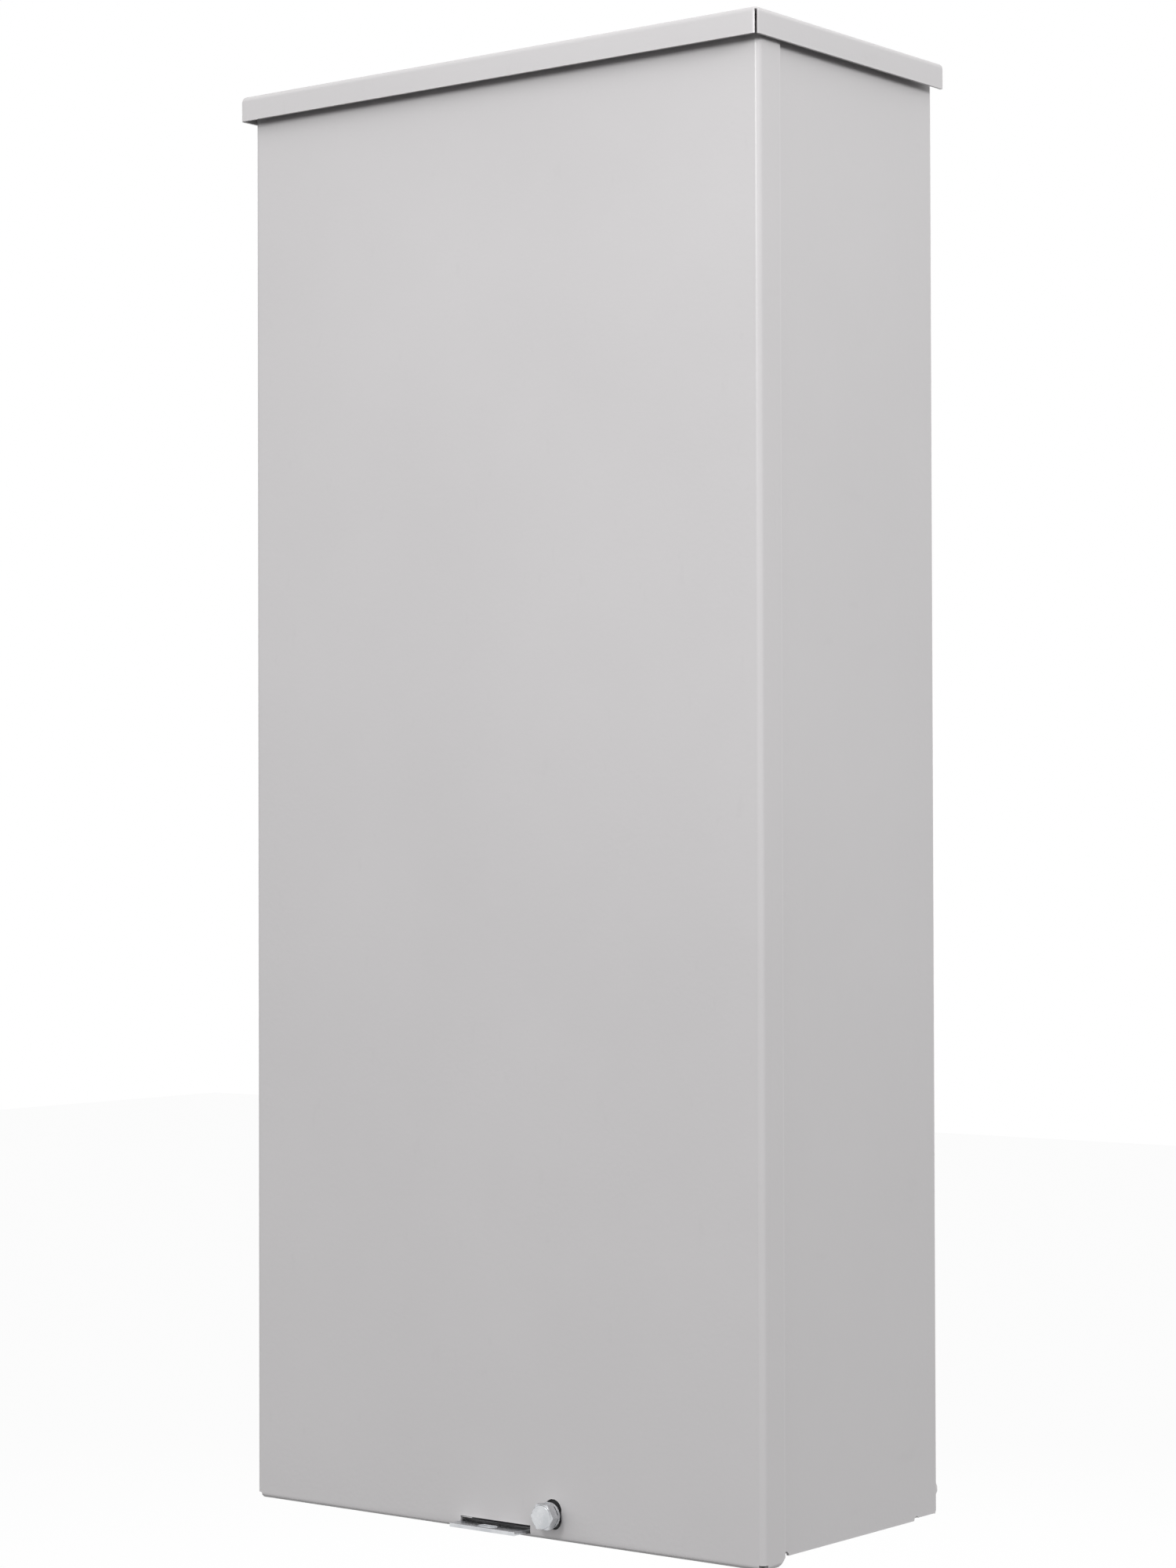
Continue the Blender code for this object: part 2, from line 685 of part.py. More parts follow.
def mounting_panel():
    panel = block(
        "mounting_panel",
        (-PANEL_WIDTH / 2, PANEL_FRONT, PANEL_LOW),
        (PANEL_WIDTH / 2, PANEL_BACK, PANEL_HIGH),
        GALVANISED,
    )
    count = 0
    for height in (PANEL_LOW + PANEL_FIXING_INSET, PANEL_HIGH - PANEL_FIXING_INSET):
        for x in (-PANEL_FIXING_X, PANEL_FIXING_X):
            count += 1
            hole = rod("panel_hole", (x, 0, height), (x, 2 * PANEL_FRONT, height), 0.0026, sides=8)
            cut(panel, hole)
            hex_screw(f"panel_screw_{count}", x, PANEL_FRONT - SEAT, CASE_BACK_INNER - 0.001, height)
    return panel


# ---------------------------------------------------------------- service disconnect
def lug(name, x, back, low, paint=ALUMINIUM):
    """Mechanical lug: an aluminium block with a wire bore from below and a socket set screw in front."""
    wide, deep, tall = LUG
    body = block(name, (x - wide / 2, back - deep, low), (x + wide / 2, back, low + tall), paint)
    bore_y = back - 0.0115
    bore = rod("wire_bore", (x, bore_y, low - 0.002), (x, bore_y, low + tall + 0.002), LUG_BORE)
    middle = low + tall / 2
    screw = rod(
        "set_screw", (x, back - deep + 0.004, middle), (x, back - deep - 0.003, middle), 0.0065, sides=12
    )
    socket = rod(
        "hex_socket", (x, back - deep + 0.002, middle), (x, back - deep - 0.004, middle), 0.0036, sides=6
    )
    cut(body, bore)
    join(body, screw)
    return cut(body, socket)


def service_breaker():
    """Two-pole breaker: case with open terminal pockets, front face, toggle and line lugs."""
    half = BREAKER_WIDTH / 2
    case = block(
        "breaker_case", (-half, BREAKER_FRONT, BREAKER_LOW), (half, DEVICE_BACK, BREAKER_HIGH), BLACK
    )
    pocket_back = DEVICE_BACK - 0.0107
    for side, name in ((-1, "left"), (1, "right")):
        x = side * POLE_X
        for low, high in (
            (BREAKER_HIGH - 0.036, BREAKER_HIGH + 0.01), (BREAKER_LOW - 0.01, BREAKER_LOW + 0.034)
        ):
            cut(case, block("pocket", (x - 0.016, BREAKER_FRONT - 0.01, low), (x + 0.016, pocket_back, high)))
        lug(f"line_lug_{name}", x, pocket_back - SEAT, BREAKER_HIGH - 0.036 + SEAT)
    face = block(
        "breaker_face",
        (-half, FACE_FRONT, BREAKER_MIDDLE - FACE_HALF_HEIGHT),
        (half, FACE_BACK, BREAKER_MIDDLE + FACE_HALF_HEIGHT),
        BLACK,
    )
    wide, rise, tall = ESCUTCHEON
    join(
        face,
        block(
            "escutcheon",
            (-wide, FACE_FRONT - rise, BREAKER_MIDDLE - tall),
            (wide, FACE_FRONT + 0.002, BREAKER_MIDDLE + tall),
        ),
    )
    slot_x, slot_z = TOGGLE_SLOT
    cut(
        face,
        block(
            "toggle_slot",
            (-slot_x, FACE_FRONT - 0.010, BREAKER_MIDDLE - slot_z),
            (slot_x, FACE_BACK + 0.002, BREAKER_MIDDLE + slot_z),
        ),
    )
    toggle_y = FACE_BACK - TOGGLE_RADIUS - 0.0005
    inside = slot_x - 0.0005
    handle = rod(
        "breaker_handle",
        (-inside, toggle_y, BREAKER_MIDDLE),
        (inside, toggle_y, BREAKER_MIDDLE),
        TOGGLE_RADIUS,
        WHITE,
    )
    finger = block("toggle_finger", (-inside, -TOGGLE_REACH, -0.004), (inside, 0, 0.004))
    finger.location = (0, toggle_y, BREAKER_MIDDLE)
    for vertex in finger.data.vertices:
        vertex.co.y -= TOGGLE_REACH / 2
    finger.rotation_euler.x = -TOGGLE_ANGLE
    join(handle, finger)
    ride(pivot("toggle_pivot", (0, toggle_y, BREAKER_MIDDLE)), handle)
    return case, face, handle


# ---------------------------------------------------------------- transfer mechanism
def fixed_contact(name, x, direction, far_height):
    """A copper strap that runs to the panel and ends in two ears beside the blade."""
    bridge = AXIS_HEIGHT + direction * BRIDGE_OFFSET
    front = TIP_Y
    path = rounded([(front, bridge), (STRAP_Y, bridge), (STRAP_Y, far_height)], 0.004)
    strap = bent_strip(
        name, path, x - STRAP_WIDTH / 2, x + STRAP_WIDTH / 2, "X", STRAP_THICK, COPPER, offset=0
    )
    near = AXIS_HEIGHT + direction * 0.015
    low, high = min(near, bridge), max(near, bridge)
    for side in (-1, 1):
        inner = x + side * (BLADE_THICK / 2 + BLADE_GAP)
        outer = inner + side * EAR_THICK
        join(
            strap,
            block(
                "contact_ear", (min(inner, outer), front, low), (max(inner, outer), front + 0.018, high)
            ),
        )
    return strap


def load_terminal(name, side):
    """The copper clip around the blade's hub, with a tongue that carries the load lug."""
    x = side * POLE_X
    inner_end, outer_end = sorted((side * (POLE_X - 0.010), side * 0.096))
    back = BASE_FRONT - SEAT
    plate = block(
        name,
        (inner_end, back - STRAP_THICK, AXIS_HEIGHT - 0.0095),
        (outer_end, back, AXIS_HEIGHT + 0.0095),
        COPPER,
    )
    for ear in (-1, 1):
        inner = x + ear * (BLADE_THICK / 2 + BLADE_GAP)
        outer = inner + ear * EAR_THICK
        join(
            plate,
            block(
                "hinge_ear",
                (min(inner, outer), AXIS_Y - 0.0105, AXIS_HEIGHT - 0.010),
                (max(inner, outer), back - 0.001, AXIS_HEIGHT + 0.010),
            ),
        )
    return cut(plate, shaft_passage("hinge_bore", x - 0.012, x + 0.012))


def shaft_passage(name, start, end, radius=BORE_RADIUS):
    return rod(name, (start, AXIS_Y, AXIS_HEIGHT), (end, AXIS_Y, AXIS_HEIGHT), radius)


def switch_base():
    """Moulded base with two bearing cheeks and a pedestal under every strap."""
    edge = CHEEK_INNER + CHEEK_THICK
    base = block("switch_base", (-edge, BASE_FRONT, BASE_LOW), (edge, DEVICE_BACK, BASE_HIGH), BROWN)
    for side in (-1, 1):
        low, high = sorted((side * CHEEK_INNER, side * edge))
        join(
            base,
            block(
                "cheek",
                (low, CHEEK_FRONT, AXIS_HEIGHT - 0.040),
                (high, BASE_FRONT + 0.001, AXIS_HEIGHT + 0.040),
            ),
        )
        tongue = block(
            "tongue_passage",
            (low - 0.002, BASE_FRONT - STRAP_THICK - 3 * SEAT, AXIS_HEIGHT - 0.010),
            (high + 0.002, BASE_FRONT, AXIS_HEIGHT + 0.010),
        )
        cut(base, tongue, shaft_passage("bearing", low - 0.002, high + 0.002))
        x = side * POLE_X
        for height in (AXIS_HEIGHT - 0.068, AXIS_HEIGHT + 0.068):
            join(
                base,
                block(
                    "pedestal",
                    (x - 0.008, STRAP_Y + STRAP_THICK / 2 + SEAT, height - 0.010),
                    (x + 0.008, BASE_FRONT + 0.001, height + 0.010),
                ),
            )
    return base


def moving_contacts():
    """Shaft, two blades, the drive arm of the solenoids and the manual handle, all turning together."""
    edge = CHEEK_INNER + CHEEK_THICK
    shaft = rod(
        "switch_shaft",
        (HANDLE_X - 0.004, AXIS_Y, AXIS_HEIGHT),
        (edge + 0.0015, AXIS_Y, AXIS_HEIGHT),
        SHAFT_RADIUS,
        BLACK,
    )
    pieces = [shaft]
    for side, name in ((-1, "left"), (1, "right")):
        x = side * POLE_X
        outline = lever_outline(BLADE_REACH, HUB_RADIUS, BLADE_WIDTH / 2, THROW_ANGLE)
        blade = flat_plate(f"contact_blade_{name}", outline, x, BLADE_THICK, COPPER)
        pieces.append(cut(blade, shaft_passage("blade_bore", x - 0.01, x + 0.01)))

    arm = shaft_passage("drive_arm_hub", -0.009, 0.009, HUB_RADIUS - 0.0008)
    pin_y, pin_height = swung(ARM_REACH, THROW_ANGLE)
    left = flat_plate(
        "drive_arm", lever_outline(ARM_REACH + 0.005, HUB_RADIUS, 0.005, THROW_ANGLE), -0.008, 0.003, ZINC
    )
    right = flat_plate(
        "drive_arm_twin", lever_outline(ARM_REACH + 0.005, HUB_RADIUS, 0.005, THROW_ANGLE), 0.008, 0.003
    )
    pin = rod("drive_pin", (-0.009, pin_y, pin_height), (0.009, pin_y, pin_height), PIN_RADIUS, sides=12)
    join(left, arm, right, pin)
    pieces.append(cut(left, shaft_passage("arm_bore", -0.02, 0.02)))

    handle = flat_plate(
        "transfer_handle", lever_outline(HANDLE_REACH, HUB_RADIUS, 0.005, THROW_ANGLE), HANDLE_X, 0.0025, ZINC
    )
    pieces.append(cut(handle, shaft_passage("handle_bore", HANDLE_X - 0.01, HANDLE_X + 0.01)))
    grip_end = HANDLE_REACH + 0.008
    y, height = swung(grip_end - GRIP_LENGTH / 2, THROW_ANGLE)
    grip = block("handle_grip", (-0.0045, -GRIP_LENGTH / 2, -0.008), (0.0045, GRIP_LENGTH / 2, 0.008), RED)
    grip.location = (HANDLE_X, y, height)
    grip.rotation_euler.x = -THROW_ANGLE
    rounding = grip.modifiers.new("rounding", "BEVEL")
    rounding.width = 0.003
    rounding.segments = 2
    socket = flat_plate(
        "grip_socket",
        lever_outline(HANDLE_REACH + SEAT, HUB_RADIUS, 0.005 + SEAT, THROW_ANGLE),
        HANDLE_X,
        0.0025 + 2 * SEAT,
    )
    pieces.append(cut(grip, socket))
    ride(pivot("shaft_pivot", (0, AXIS_Y, AXIS_HEIGHT)), *pieces)


def solenoids():
    """Two coils in steel frames, and one sliding yoke whose ends are the plungers of both."""
    wide, deep, tall = YOKE
    yoke = block(
        "plunger_yoke",
        (-wide, PLUNGER_Y - deep, YOKE_REST - tall),
        (wide, PLUNGER_Y + deep, YOKE_REST + tall),
        ZINC,
    )
    travel = 2 * ARM_REACH * math.sin(THROW_ANGLE)
    engaged = 0.0075
    top = AXIS_HEIGHT + COIL_OFFSET + travel + engaged
    bottom = AXIS_HEIGHT - COIL_OFFSET - engaged
    plungers = rod("plunger_rod", (0, PLUNGER_Y, bottom), (0, PLUNGER_Y, top), PLUNGER_RADIUS)
    slot = block(
        "pin_slot",
        (-0.010, PLUNGER_Y - 0.0047, YOKE_REST - PIN_RADIUS - 0.0006),
        (0.010, PLUNGER_Y + 0.0047, YOKE_REST + PIN_RADIUS + 0.0006),
    )
    join(yoke, plungers)
    cut(yoke, slot)
    ride(pivot("plunger_guide", (0, PLUNGER_Y, YOKE_REST)), yoke)

    for direction, name in ((1, "utility"), (-1, "standby")):
        near = AXIS_HEIGHT + direction * COIL_OFFSET
        far = near + direction * COIL_LENGTH
        coil = rod(f"{name}_coil", (0, PLUNGER_Y, near), (0, PLUNGER_Y, far), COIL_RADIUS, COIL, sides=20)
        waist = direction * 0.003
        ring = rod(
            "winding_waist",
            (0, PLUNGER_Y, near + waist),
            (0, PLUNGER_Y, far - waist),
            COIL_RADIUS + 0.004,
            sides=20,
        )
        core = rod(
            "winding",
            (0, PLUNGER_Y, near + waist / 2),
            (0, PLUNGER_Y, far - waist / 2),
            COIL_RADIUS - 0.0018,
            sides=20,
        )
        cut(ring, core)
        passage = rod(
            "coil_bore",
            (0, PLUNGER_Y, near - direction * 0.004),
            (0, PLUNGER_Y, far - waist),
            PLUNGER_RADIUS + 0.0005,
        )
        cut(coil, ring, passage)
        sheet = COIL_FRAME_SHEET / 2
        inner, outer = near - direction * (sheet + SEAT), far + direction * (sheet + SEAT)
        back = BASE_FRONT - SEAT - sheet
        front = PLUNGER_Y - COIL_RADIUS - 0.002
        path = rounded([(front, inner), (back, inner), (back, outer), (front, outer)], 0.003)
        frame = bent_strip(
            f"{name}_coil_frame", path, -0.014, 0.014, "X", COIL_FRAME_SHEET, GALVANISED, offset=0
        )
        opening = rod(
            "frame_bore",
            (0, PLUNGER_Y, inner - direction * 0.003),
            (0, PLUNGER_Y, inner + direction * 0.003),
            PLUNGER_RADIUS + 0.0005,
        )
        cut(frame, opening)


def arc_guard():
    """Clear guard over the poles, seated on the front edges of the cheeks."""
    x = CHEEK_INNER + 0.0015 + GUARD_WALL / 2
    front = TIP_Y - 0.0045
    path = rounded([(-x, CHEEK_FRONT - SEAT), (-x, front), (x, front), (x, CHEEK_FRONT - SEAT)], 0.004)
    return bent_strip("arc_guard", path, GUARD_LOW, GUARD_HIGH, "Z", GUARD_WALL, CLEAR, offset=0)


def transfer_mechanism():
    switch_base()
    for side, name in ((-1, "left"), (1, "right")):
        x = side * POLE_X
        fixed_contact(f"utility_contact_{name}", x, 1, BREAKER_LOW + 0.028)
        fixed_contact(f"standby_contact_{name}", x, -1, BASE_LOW - 0.014)
        load_terminal(f"load_terminal_{name}", side)
        lug(f"standby_lug_{name}", x, STRAP_Y - STRAP_THICK / 2 - SEAT, BASE_LOW - 0.012)
        lug(f"load_lug_{name}", side * 0.080, BASE_FRONT - STRAP_THICK - 2 * SEAT, AXIS_HEIGHT - LUG[2] / 2)
    moving_contacts()
    solenoids()
    arc_guard()


# ---------------------------------------------------------------- wiring devices on the panel
def neutral_bar():
    x, low, high = 0.125, 0.300, 0.460
    insulator_depth = 0.026
    bar_back = DEVICE_BACK - insulator_depth - SEAT
    bar = block("neutral_bar", (x - 0.006, bar_back - 0.012, low), (x + 0.006, bar_back, high), ALUMINIUM)
    for step in range(9):
        height = low + 0.024 + step * 0.014
        middle = bar_back - 0.007
        cut(bar, rod("neutral_bore", (x - 0.01, middle, height), (x + 0.01, middle, height), 0.0028, sides=8))
        screw = rod(
            "neutral_screw", (x, bar_back - 0.010, height), (x, bar_back - 0.0145, height), 0.0036, sides=8
        )
        join(bar, screw)
    foot = block(
        "neutral_insulator", (x - 0.010, DEVICE_BACK - 0.005, low), (x + 0.010, DEVICE_BACK, high), WHITE
    )
    for height in (low + 0.012, high - 0.012):
        post = rod(
            "insulator_post",
            (x, DEVICE_BACK - 0.004, height),
            (x, bar_back + SEAT, height),
            0.008,
            end_radius=0.0065,
        )
        join(foot, post)


def ground_bar():
    left, height = 0.020, 0.085
    count, pitch = 8, 0.014
    right = left + (count + 1) * pitch
    bar = block(
        "ground_bar",
        (left, DEVICE_BACK - 0.010, height - 0.006),
        (right, DEVICE_BACK, height + 0.006),
        ALUMINIUM,
    )
    for step in range(1, count + 1):
        x = left + step * pitch
        y = DEVICE_BACK - 0.0055
        cut(bar, rod("ground_bore", (x, y, height - 0.01), (x, y, height + 0.01), 0.0026, sides=8))
        join(
            bar,
            rod(
                "ground_screw",
                (x, DEVICE_BACK - 0.008, height),
                (x, DEVICE_BACK - 0.0125, height),
                0.0036,
                sides=8,
            ),
        )


def fuse_block():
    """Moulded block with three ferrule fuses lying in pairs of clips."""
    left, right, low, pitch, count = -0.146, -0.084, 0.160, 0.018, 3
    fuse_radius = 0.0052
    fuse_y = DEVICE_BACK - 0.018
    body = block(
        "fuse_block", (left, DEVICE_BACK - 0.010, low), (right, DEVICE_BACK, low + count * pitch), BLACK
    )
    for step in range(count):
        height = low + (step + 0.5) * pitch
        for x in (left + 0.014, right - 0.014):
            join(
                body,
                block(
                    "clip",
                    (x - 0.004, fuse_y - 0.002, height - 0.0075),
                    (x + 0.004, DEVICE_BACK - 0.009, height + 0.0075),
                ),
            )
        groove = rod(
            "clip_groove",
            (left + 0.001, fuse_y, height),
            (right - 0.001, fuse_y, height),
            fuse_radius + SEAT,
            sides=12,
        )
        cut(body, groove)
        fuse = rod(
            f"fuse_{step + 1}",
            (left + 0.008, fuse_y, height),
            (right - 0.008, fuse_y, height),
            fuse_radius - 0.0006,
            GLASS,
            sides=12,
        )
        for start, end in ((left + 0.008, left + 0.019), (right - 0.019, right - 0.008)):
            join(
                fuse,
                rod(
                    "ferrule",
                    (start - 0.0002, fuse_y, height),
                    (end, fuse_y, height),
                    fuse_radius,
                    sides=12,
                ),
            )
    return body


def terminal_strip():
    left, low, pitch, count = -0.146, 0.100, 0.0105, 6
    right = left + count * pitch
    body = block("terminal_strip", (left, DEVICE_BACK - 0.008, low), (right, DEVICE_BACK, low + 0.026), BLACK)
    for step in range(count + 1):
        x = min(max(left + step * pitch, left + 0.001), right - 0.001)
        join(
            body,
            block(
                "barrier",
                (x - 0.001, DEVICE_BACK - 0.016, low),
                (x + 0.001, DEVICE_BACK - 0.007, low + 0.026),
            ),
        )
    for step in range(count):
        x = left + (step + 0.5) * pitch
        for height in (low + 0.007, low + 0.019):
            join(
                body,
                rod(
                    "terminal_screw",
                    (x, DEVICE_BACK - 0.007, height),
                    (x, DEVICE_BACK - 0.0115, height),
                    0.0031,
                    sides=8,
                ),
            )
    return body


def control_board():
    """Load management board on a plastic tray with four posts, and its relay."""
    left, right, low, high = -0.148, -0.102, 0.300, 0.460
    tray = block("board_tray", (left, DEVICE_BACK - 0.003, low), (right, DEVICE_BACK, high), WHITE)
    board_back = DEVICE_BACK - 0.010
    for x in (left + 0.006, right - 0.006):
        for height in (low + 0.008, high - 0.008):
            join(
                tray,
                rod(
                    "post",
                    (x, DEVICE_BACK - 0.002, height),
                    (x, board_back + SEAT, height),
                    0.0035,
                    sides=12,
                ),
            )
    board_front = board_back - 0.0016
    board = block(
        "control_board",
        (left + 0.001, board_front, low + 0.002),
        (right - 0.001, board_back, high - 0.002),
        GREEN,
    )
    features = [
        (
            "field_terminals",
            (left + 0.004, board_front - 0.011, low + 0.006),
            (right - 0.004, board_front + 0.0005, low + 0.018),
        ),
        (
            "harness_socket",
            (left + 0.008, board_front - 0.009, high - 0.018),
            (right - 0.016, board_front + 0.0005, high - 0.008),
        ),
        (
            "processor",
            (left + 0.016, board_front - 0.0024, low + 0.042),
            (left + 0.030, board_front + 0.0005, low + 0.056),
        ),
        (
            "setting_switch",
            (left + 0.010, board_front - 0.0035, low + 0.066),
            (left + 0.034, board_front + 0.0005, low + 0.074),
        ),
    ]
    for name, start, end in features:
        join(board, block(name, start, end))
    for step in range(3):
        height = low + 0.084 + step * 0.011
        join(
            board,
            rod(
                "capacitor",
                (right - 0.010, board_front + 0.0005, height),
                (right - 0.010, board_front - 0.012, height),
                0.0042,
                sides=12,
            ),
        )
    block(
        "board_relay",
        (left + 0.006, board_front - SEAT - 0.015, low + 0.090),
        (left + 0.026, board_front - SEAT, low + 0.118),
        BLUE,
    )


def control_harness():
    """The wire bundle from the board down to the fuse block, pressed flat against the panel's plane."""
    radius = 0.003
    y = DEVICE_BACK - radius - SEAT
    route = [
        (-0.125, y, 0.2985),
        (-0.126, y, 0.285),
        (-0.129, y, 0.270),
        (-0.131, y, 0.255),
        (-0.127, y, 0.240),
        (-0.121, y, 0.226),
        (-0.120, y, 0.220),
        (-0.120, y, 0.2146),
    ]
    curve = bpy.data.curves.new("control_harness", "CURVE")
    curve.dimensions = "3D"
    curve.bevel_depth = radius
    curve.bevel_resolution = 2
    curve.use_fill_caps = True
    spline = curve.splines.new("POLY")
    points = smooth(route, 3)
    spline.points.add(len(points) - 1)
    for point, co in zip(spline.points, points):
        point.co = (*co, 1)
    return place(bpy.data.objects.new("control_harness", curve), BLACK)


def smooth(route, steps):
    """Points along a Catmull-Rom curve through the route's own points."""
    route = [Vector(p) for p in route]
    padded = [2 * route[0] - route[1], *route, 2 * route[-1] - route[-2]]
    points = []
    for a, b, c, d in zip(padded, padded[1:], padded[2:], padded[3:]):
        for step in range(steps):
            t = step / steps
            points.append(
                0.5
                * (2 * b + (c - a) * t + (2 * a - 5 * b + 4 * c - d) * t**2 + (3 * b - a - 3 * c + d) * t**3)
            )
    return [*points, route[-1]]


# ---------------------------------------------------------------- dead front
def dead_front():
    """Inner cover over the live breaker: face, two side walls and screwed feet, bent from one sheet."""
    foot_front = DEVICE_BACK - SHEET
    path = [
        (-DEAD_FRONT_HALF - FOOT_WIDTH, foot_front),
        (-DEAD_FRONT_HALF, foot_front),
        (-DEAD_FRONT_HALF, DEAD_FRONT_INNER - SHEET),
        (DEAD_FRONT_HALF, DEAD_FRONT_INNER - SHEET),
        (DEAD_FRONT_HALF, foot_front),
        (DEAD_FRONT_HALF + FOOT_WIDTH, foot_front),
    ]
    cover = bent_strip(
        "dead_front", rounded(path, 0.002), DEAD_FRONT_LOW, DEAD_FRONT_HIGH, "Z", SHEET, PAINT, offset=1
    )
    wide, _, tall = ESCUTCHEON
    window = block(
        "handle_window",
        (-wide - 0.001, DEAD_FRONT_INNER - 0.010, BREAKER_MIDDLE - tall - 0.001),
        (wide + 0.001, DEAD_FRONT_INNER + 0.010, BREAKER_MIDDLE + tall + 0.001),
    )
    cut(cover, window)
    count = 0
    for height in (DEAD_FRONT_LOW + 0.015, DEAD_FRONT_HIGH - 0.015):
        for x in (-DEAD_FRONT_HALF - 0.012, DEAD_FRONT_HALF + 0.012):
            count += 1
            hole = rod(
                "foot_hole",
                (x, PANEL_BACK + 0.004, height),
                (x, foot_front - 0.005, height),
                0.0026,
                sides=8,
            )
            cut(cover, hole)
            cut(bpy.data.objects["mounting_panel"], hole)
            hex_screw(f"dead_front_screw_{count}", x, foot_front - SEAT, PANEL_BACK + 0.003, height)
    return cover


# ---------------------------------------------------------------- the whole assembly
enclosure_wrap()
enclosure_trays()
rain_cap()
cover = front_cover()
washer, screw, ring = cover_fastening()
mounting_panel()
service_breaker()
transfer_mechanism()
neutral_bar()
ground_bar()
fuse_block()
terminal_strip()
control_board()
control_harness()
dead_front()
ride(pivot("cover_hinge", (0, COVER_INNER, COVER_TOP)), cover, ring)
ride(pivot("screw_axis", (SCREW_X, COVER_OUTER, SCREW_HEIGHT)), washer, screw)
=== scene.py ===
# %% [markdown]
# # Outdoor transfer switch cabinet
#
# This scene dresses a finished CAD model: a wall cabinet of painted steel with a lift-off front cover,
# a rain cap, a padlock tab and one hex screw, and behind the cover the breaker, the transfer switch and
# the wiring terminals. The CAD model fixes every size and every moving body. What is made here is what
# the eye reads: paint, plating, copper, mouldings, and the small pieces that a CAD model leaves out.

# %% Load the frame
import json
import math

import bmesh
import bpy
from mathutils import Matrix, Vector


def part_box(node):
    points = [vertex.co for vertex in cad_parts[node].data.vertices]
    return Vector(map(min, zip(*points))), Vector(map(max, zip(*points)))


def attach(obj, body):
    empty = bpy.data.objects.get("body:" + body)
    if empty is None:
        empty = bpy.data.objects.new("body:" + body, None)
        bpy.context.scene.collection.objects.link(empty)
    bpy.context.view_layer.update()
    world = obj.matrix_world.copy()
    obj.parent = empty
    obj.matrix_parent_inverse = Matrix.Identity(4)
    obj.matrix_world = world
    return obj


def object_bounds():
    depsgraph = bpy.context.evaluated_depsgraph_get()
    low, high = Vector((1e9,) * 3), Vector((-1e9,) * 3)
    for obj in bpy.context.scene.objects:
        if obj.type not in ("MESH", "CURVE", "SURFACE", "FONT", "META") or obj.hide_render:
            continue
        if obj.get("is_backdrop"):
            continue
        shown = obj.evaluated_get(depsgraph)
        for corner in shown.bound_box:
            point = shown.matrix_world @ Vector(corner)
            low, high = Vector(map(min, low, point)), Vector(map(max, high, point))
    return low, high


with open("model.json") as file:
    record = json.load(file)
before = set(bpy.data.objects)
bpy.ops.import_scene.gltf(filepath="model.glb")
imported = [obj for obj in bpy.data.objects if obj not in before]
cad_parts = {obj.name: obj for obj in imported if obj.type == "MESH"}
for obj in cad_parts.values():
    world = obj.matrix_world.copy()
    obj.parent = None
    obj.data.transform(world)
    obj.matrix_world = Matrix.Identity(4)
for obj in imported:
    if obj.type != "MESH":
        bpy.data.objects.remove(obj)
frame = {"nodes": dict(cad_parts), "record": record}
cad_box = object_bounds()
nodes = frame["nodes"]

# %% [markdown]
# ## Camera
#
# A tall box looks right only when its upright edges stay nearly upright, so the camera stands level with
# the middle of the cabinet, and a small lens shift does the framing. Its position is measured from the
# lower front edge of the cover, because the view is about that face.

# %% Camera
cover_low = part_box("front_cover")[0]
LENS_MM = 82.5
SENSOR_MM = 36.0
LENS_SHIFT = (0.0345, 0.0045)
CAMERA_FROM_COVER = Vector((1.1717, -1.4441, 0.3536))  # from the middle of the cover's lower front edge
LOOK = Vector((-0.6215, 0.7833, 0.0156)).normalized()
UPRIGHT = Vector((0.0117, -0.0106, 0.9999))

camera = bpy.data.objects.new("camera", bpy.data.cameras.new("camera"))
bpy.context.scene.collection.objects.link(camera)
bpy.context.scene.camera = camera
camera.data.lens = LENS_MM
camera.data.sensor_width = SENSOR_MM
camera.data.shift_x, camera.data.shift_y = LENS_SHIFT
sideways = LOOK.cross(UPRIGHT).normalized()
aim = Matrix((sideways, sideways.cross(LOOK), -LOOK)).transposed()
cover_edge = Vector((0, cover_low.y, cover_low.z))
camera.matrix_world = Matrix.Translation(cover_edge + CAMERA_FROM_COVER) @ aim.to_4x4()
print("camera at", [round(v, 3) for v in camera.location])

# %% [markdown]
# ## Studio
#
# The cabinet hangs on a wall in use, so the floor lies well below it. The page round it is white, but only
# to the eye: rays from the camera, and those that come by way of a shiny or clear surface, see white, while
# the light that falls on the paint is set on its own. That keeps pale paint from washing out. The light
# comes mostly from the sides, less from straight above and hardly at all from below, so lips and slots are
# dark inside. The floor adds its white glow on top of a matt surface, so the soft shadow on it stays.

# %% World and floor
FLOOR_DROP = 0.45
FLOOR_WIDTH = 14.0
FLOOR_MATT = 0.10
FLOOR_GLOW = 0.88
AMBIENT_BELOW = 0.03
AMBIENT_SIDES = 1.41
AMBIENT_OVERHEAD = 0.38  # as a share of the light from the sides
HORIZON = (-0.12, 0.28)  # the height of the sky, from -1 to 1, over which its light rises
ZENITH = (0.35, 0.95)  # and over which it falls again
WHITE = (1, 1, 1, 1)

bpy.context.scene.view_settings.view_transform = "Standard"


def plug(tree, socket, value):
    """Gives a socket its value, or links it when the value comes from another node."""
    if isinstance(value, bpy.types.NodeSocket):
        tree.links.new(value, socket)
    else:
        socket.default_value = value


def add(tree, kind, settings=None, **inputs):
    """Adds a shader node. Settings are its own fields. Inputs go to sockets by name, or by place as _0."""
    made = tree.nodes.new("ShaderNode" + kind)
    for field, value in (settings or {}).items():
        setattr(made, field, value)
    for label, value in inputs.items():
        key = int(label[1:]) if label[0] == "_" else label.replace("_", " ")
        plug(tree, made.inputs[key], value)
    return made


